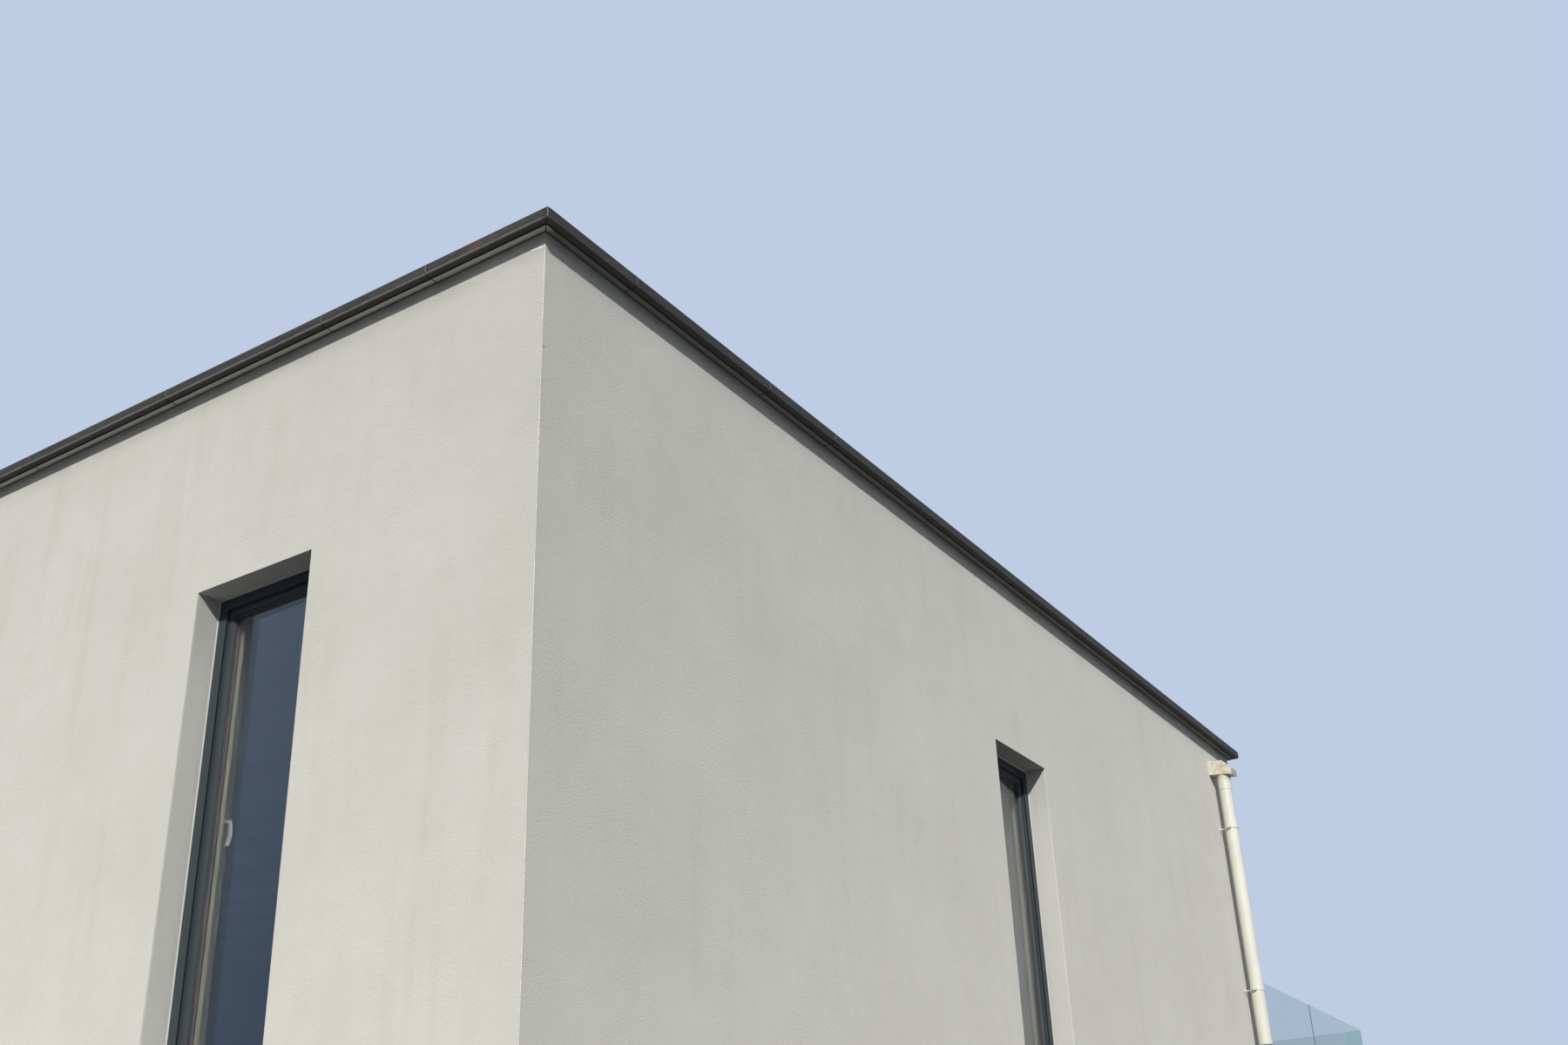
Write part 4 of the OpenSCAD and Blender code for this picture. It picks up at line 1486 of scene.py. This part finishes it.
@dataclass
class TerracePaving:
    """Square slabs with open joints on the terrace."""

    slab_w: float = 0.6
    joint: float = 5 * MM
    arris: float = 2.5 * MM
    unevenness: float = 1.2
    sliver: float = 0.05
    seed: int = 11

    def build(self) -> None:
        """Lays the slabs from the middle of the upper back wall outwards."""
        bed = Box.of_node("terrace_paving")
        piece = Piece("paving_slabs", PAVING, "paving")
        draw = random.Random(self.seed)
        half = self.joint / 2
        for low_x, high_x in self.cuts(bed.low.x, bed.high.x, bed.centre.x):
            for low_y, high_y in self.cuts(bed.low.y, bed.high.y, bed.low.y):
                drop = draw.uniform(0.0, self.unevenness) * MM
                piece.slab(Vector((low_x + half, low_y + half, bed.low.z)),
                           Vector((high_x - half, high_y - half, bed.high.z - drop)), self.arris)
        piece.finish_piece(replaced=("terrace_paving",))

    def cuts(self, low: float, high: float, start: float) -> list[Span]:
        """Divides a row between two walls into slabs.

        Args:
            low: Place of the first wall.
            high: Place of the second wall.
            start: Place of a joint from which the slabs are laid both ways.

        Returns:
            Start and end of each slab.
        """
        marks = {low, high}
        for step in range(math.ceil((high - low) / self.slab_w) + 1):
            for mark in (start + step * self.slab_w, start - step * self.slab_w):
                if low + self.sliver < mark < high - self.sliver:
                    marks.add(mark)
        ordered = sorted(marks)
        return list(zip(ordered, ordered[1:]))


@dataclass
class PipeFixings:
    """Screws of the pipe's brackets: one through each pair of ears, with its nut behind them."""

    head_r: float = 5.5 * MM
    head_h: float = 3.2 * MM
    nut_r: float = 6 * MM
    screw_r: float = 2.6 * MM
    ear_w: float = 18 * MM
    ear_half: float = 12 * MM
    head: tuple[Span, ...] = (
        (1.0, 0.0), (1.0, 0.35), (0.86, 0.72), (0.55, 0.95), (0.28, 1.0), (0.26, 0.55))
    nut: tuple[Span, ...] = ((0.92, 0.0), (1.0, -0.6 * MM), (1.0, -3.6 * MM), (0.90, -4.2 * MM))
    screw: tuple[Span, ...] = ((1.0, -4.2 * MM), (1.0, -7.4 * MM), (0.7, -8.2 * MM))

    def build(self) -> None:
        """Makes the screws of every bracket."""
        piece = Piece("bracket_screws", SILL, "sill_metal")
        pipe, rings = Box.of_node("downpipe").centre, Box.of_node("pipe_brackets")
        reach = rings.size.y / 2 - self.ear_w / 2
        for bracket in solids_of("pipe_brackets"):
            for side in (-1, 1):
                middle = Vector((pipe.x, pipe.y + side * reach, bracket.centre.z))
                front, rear = (middle + Vector((way * self.ear_half, 0, 0)) for way in (1, -1))
                self.turned(piece, front, self.head_r, self.head_h, 20, self.head)
                self.turned(piece, rear, self.nut_r, 1.0, 6, self.nut)
                self.turned(piece, rear, self.screw_r, 1.0, 12, self.screw)
        piece.finish_piece()

    def turned(self, piece: Piece, seat: Vector, radius: float, height: float, sides: int,
               profile: Sequence[Span]) -> None:
        """Adds a turned solid that stands out along X.

        Args:
            piece: Piece that takes it.
            seat: Middle of its foot.
            radius: Its radius.
            height: What a step out of 1 in the profile is in metres.
            sides: Number of its sides.
            profile: Pairs of a share of the radius and a step out.
        """
        turns = [math.tau * index / sides for index in range(sides)]
        piece.loft([
            [seat + Vector((height * out, math.cos(turn) * radius * wide, math.sin(turn) * radius * wide))
             for turn in turns] for wide, out in profile
        ])


@dataclass
class ChannelGaskets:
    """Rubber strips that hold the balustrade's glass in its channel, on both sides of the glass."""

    lip: float = 3.2 * MM
    bulge: float = 2.2 * MM
    clear: float = 0.15 * MM

    def build(self) -> None:
        """Makes the strips of the three runs."""
        piece = Piece("channel_gaskets", GASKET, "collar_rubber")
        top = Box.of_node("balustrade_channel").high.z
        for sheet in solids_of("balustrade_glass"):
            self.add_strip(piece, sheet, sheet.high[sheet.thin_axis], 1, top)
            self.add_strip(piece, sheet, sheet.low[sheet.thin_axis], -1, top)
        piece.finish_piece()

    def add_strip(self, piece: Piece, sheet: Box, face: float, away: int, top: float) -> None:
        """Adds the part of a strip that shows above the channel along one pane.

        Args:
            piece: Piece that takes it.
            sheet: Box of the pane.
            face: Place of the pane's face.
            away: 1 or -1, the way that the face looks.
            top: Level of the channel's top.
        """
        axis, other = sheet.thin_axis, 1 - sheet.thin_axis
        profile = ((0, self.clear), (self.lip, self.clear), (self.lip, self.bulge * 0.5),
                   (self.lip * 0.6, self.bulge), (0, self.bulge * 1.15))
        outline = [spot(axis, face + away * self.clear + away * out, sheet.low[other], top + up)
                   for out, up in profile]
        piece.prism(outline, spot(other, sheet.size[other], 0, 0))


@dataclass
class PhotoCamera:
    """Camera at the photograph's place and angle."""

    place: Point = (8.0145, -9.7132, 1.9755)
    pitch: float = 25.485
    roll: float = -2.273
    yaw: float = 327.995
    focal: float = 1882.3
    width: float = 1800.0
    shift: float = 0.037
    sensor: float = 36.0
    reach: float = 500.0

    def build(self) -> None:
        """Makes the camera and looks through it."""
        data = bpy.data.cameras.new("photo_camera")
        data.sensor_fit = "HORIZONTAL"
        data.sensor_width = self.sensor
        data.lens = self.focal / self.width * self.sensor
        data.shift_y = self.shift
        data.clip_end = self.reach
        camera = new_object("photo_camera", data)
        right, down, forward = self.directions()
        turn = Matrix((right, -down, -forward)).transposed().to_4x4()
        camera.matrix_world = Matrix.Translation(self.place) @ turn
        bpy.context.scene.camera = camera
        LOG.info("camera: lens %.2f mm, shift %.3f", data.lens, data.shift_y)

    def directions(self) -> list[Vector]:
        """Turns the picture's axes into the house's.

        Returns:
            The picture's right, down and forward directions in the house's axes.
        """
        pitch, roll, yaw = (math.radians(angle) for angle in (self.pitch, self.roll, self.yaw))
        level = Matrix(((1, 0, 0), (0, 0, -1), (0, 1, 0))) @ Matrix.Rotation(yaw, 3, "Z")
        turned = Matrix.Rotation(roll, 3, "Z") @ Matrix.Rotation(-pitch, 3, "X") @ level
        return [turned[index] for index in range(3)]


@dataclass
class StudioLight:
    """A sun lamp, a weak and very soft one behind the house, a sky for the shade, and a pale floor."""

    azimuth: float = 34.0
    elevation: float = 33.5
    sun: float = 3.35
    softness: float = 1.6
    sun_colour: Point = (1.0, 0.98, 0.95)
    behind: float = 0.9
    behind_softness: float = 35.0
    sky: tuple = (0.80, 0.89, 1.0, 1.0)
    fill: float = 0.45
    backdrop: tuple = shade(190, 205, 228)
    floor_tone: tuple = (0.78, 0.78, 0.76, 1.0)
    floor_shade: tuple = (0.10, 0.10, 0.10, 1.0)
    floor_reach: float = 120.0
    floor_level: float = -1 * MM
    fade: Span = (16.0, 45.0)

    def build(self) -> None:
        """Makes the lamps, the sky and the floor."""
        self.make_lamp("studio_sun", self.azimuth, self.sun, self.softness)
        self.make_lamp("studio_lamp_behind", self.azimuth + 180.0, self.behind, self.behind_softness)
        self.make_sky()
        self.make_floor()

    def make_lamp(self, name: str, azimuth: float, energy: float, softness: float) -> None:
        """Makes one far lamp.

        Args:
            name: Name of the lamp.
            azimuth: Its direction, in degrees from the front towards the right.
            energy: Its strength.
            softness: Its width as seen from the house, in degrees.
        """
        turn, elevation = math.radians(azimuth), math.radians(self.elevation)
        level = math.cos(elevation)
        towards = Vector((math.sin(turn) * level, -math.cos(turn) * level, math.sin(elevation)))
        data = bpy.data.lights.new(name, "SUN")
        data.energy, data.angle, data.color = energy, math.radians(softness), self.sun_colour
        new_object(name, data).rotation_euler = towards.to_track_quat("Z", "Y").to_euler()

    def seen(self, tree: Tree) -> Wire:
        """1 for rays of the camera, of mirrors and of glass, 0 for the fill light."""
        camera, mirror, glass = (tree.add("LightPath", out=f"Is {ray} Ray")
                                 for ray in ("Camera", "Glossy", "Transmission"))
        return tree.math("ADD", camera + mirror, glass, clamp=True)

    def make_sky(self) -> None:
        """Makes a plain backdrop for the camera and soft light for the house."""
        world = bpy.data.worlds.new("studio_world")
        tree = Tree.of(world)
        fill = tree.add("Background", {0: self.sky, 1: self.fill})
        pale = tree.add("Background", {0: self.backdrop, 1: 1.0})
        tree.node("OutputWorld", {0: tree.add("MixShader", {0: self.seen(tree), 1: fill, 2: pale})})
        bpy.context.scene.world = world

    def make_floor(self) -> None:
        """Makes a pale floor that keeps shadows and fades into the backdrop far away."""
        material = bpy.data.materials.new("studio_floor")
        tree = Tree.of(material)
        matt = tree.add("BsdfDiffuse", {0: tree.mix(self.seen(tree), self.floor_shade, self.floor_tone)})
        pale = tree.add("Emission", {0: self.backdrop, 1: 1.0})
        far = tree.place().length().step(*self.fade) * self.seen(tree)
        tree.node("OutputMaterial", {0: tree.add("MixShader", {0: far, 1: matt, 2: pale})})
        mesh = bpy.data.meshes.new("studio_floor")
        reach = self.floor_reach
        corners = [(-reach, -reach, 0), (reach, -reach, 0), (reach, reach, 0), (-reach, reach, 0)]
        mesh.from_pydata(corners, [], [(0, 1, 2, 3)])
        mesh.materials.append(material)
        floor = new_object("studio_floor", mesh)
        floor.location.z = self.floor_level


def main() -> None:
    """Builds the house's looks in order."""
    logging.basicConfig(level=logging.INFO, format="%(name)s: %(message)s")
    bpy.context.scene.view_settings.view_transform = "Standard"
    PhotoCamera().build()
    StudioLight().build()
    Fabric().dress()
    walls = [f"{wall}_window" for wall in ("front", "right", "back", "left")]
    for node in [f"{wall}_panes" for wall in walls] + ["terrace_door_pane"]:
        Glazing(node).build()
    for node in [f"{wall}_frames" for wall in walls] + ["terrace_door_frame", "entrance_frame"]:
        RevealBeads(node).build()
    for part in (CopingJoints, CornerNosing, RoofSurface, TerracePaving, PipeFixings, ChannelGaskets):
        part().build()


if __name__ == "__main__":
    main()
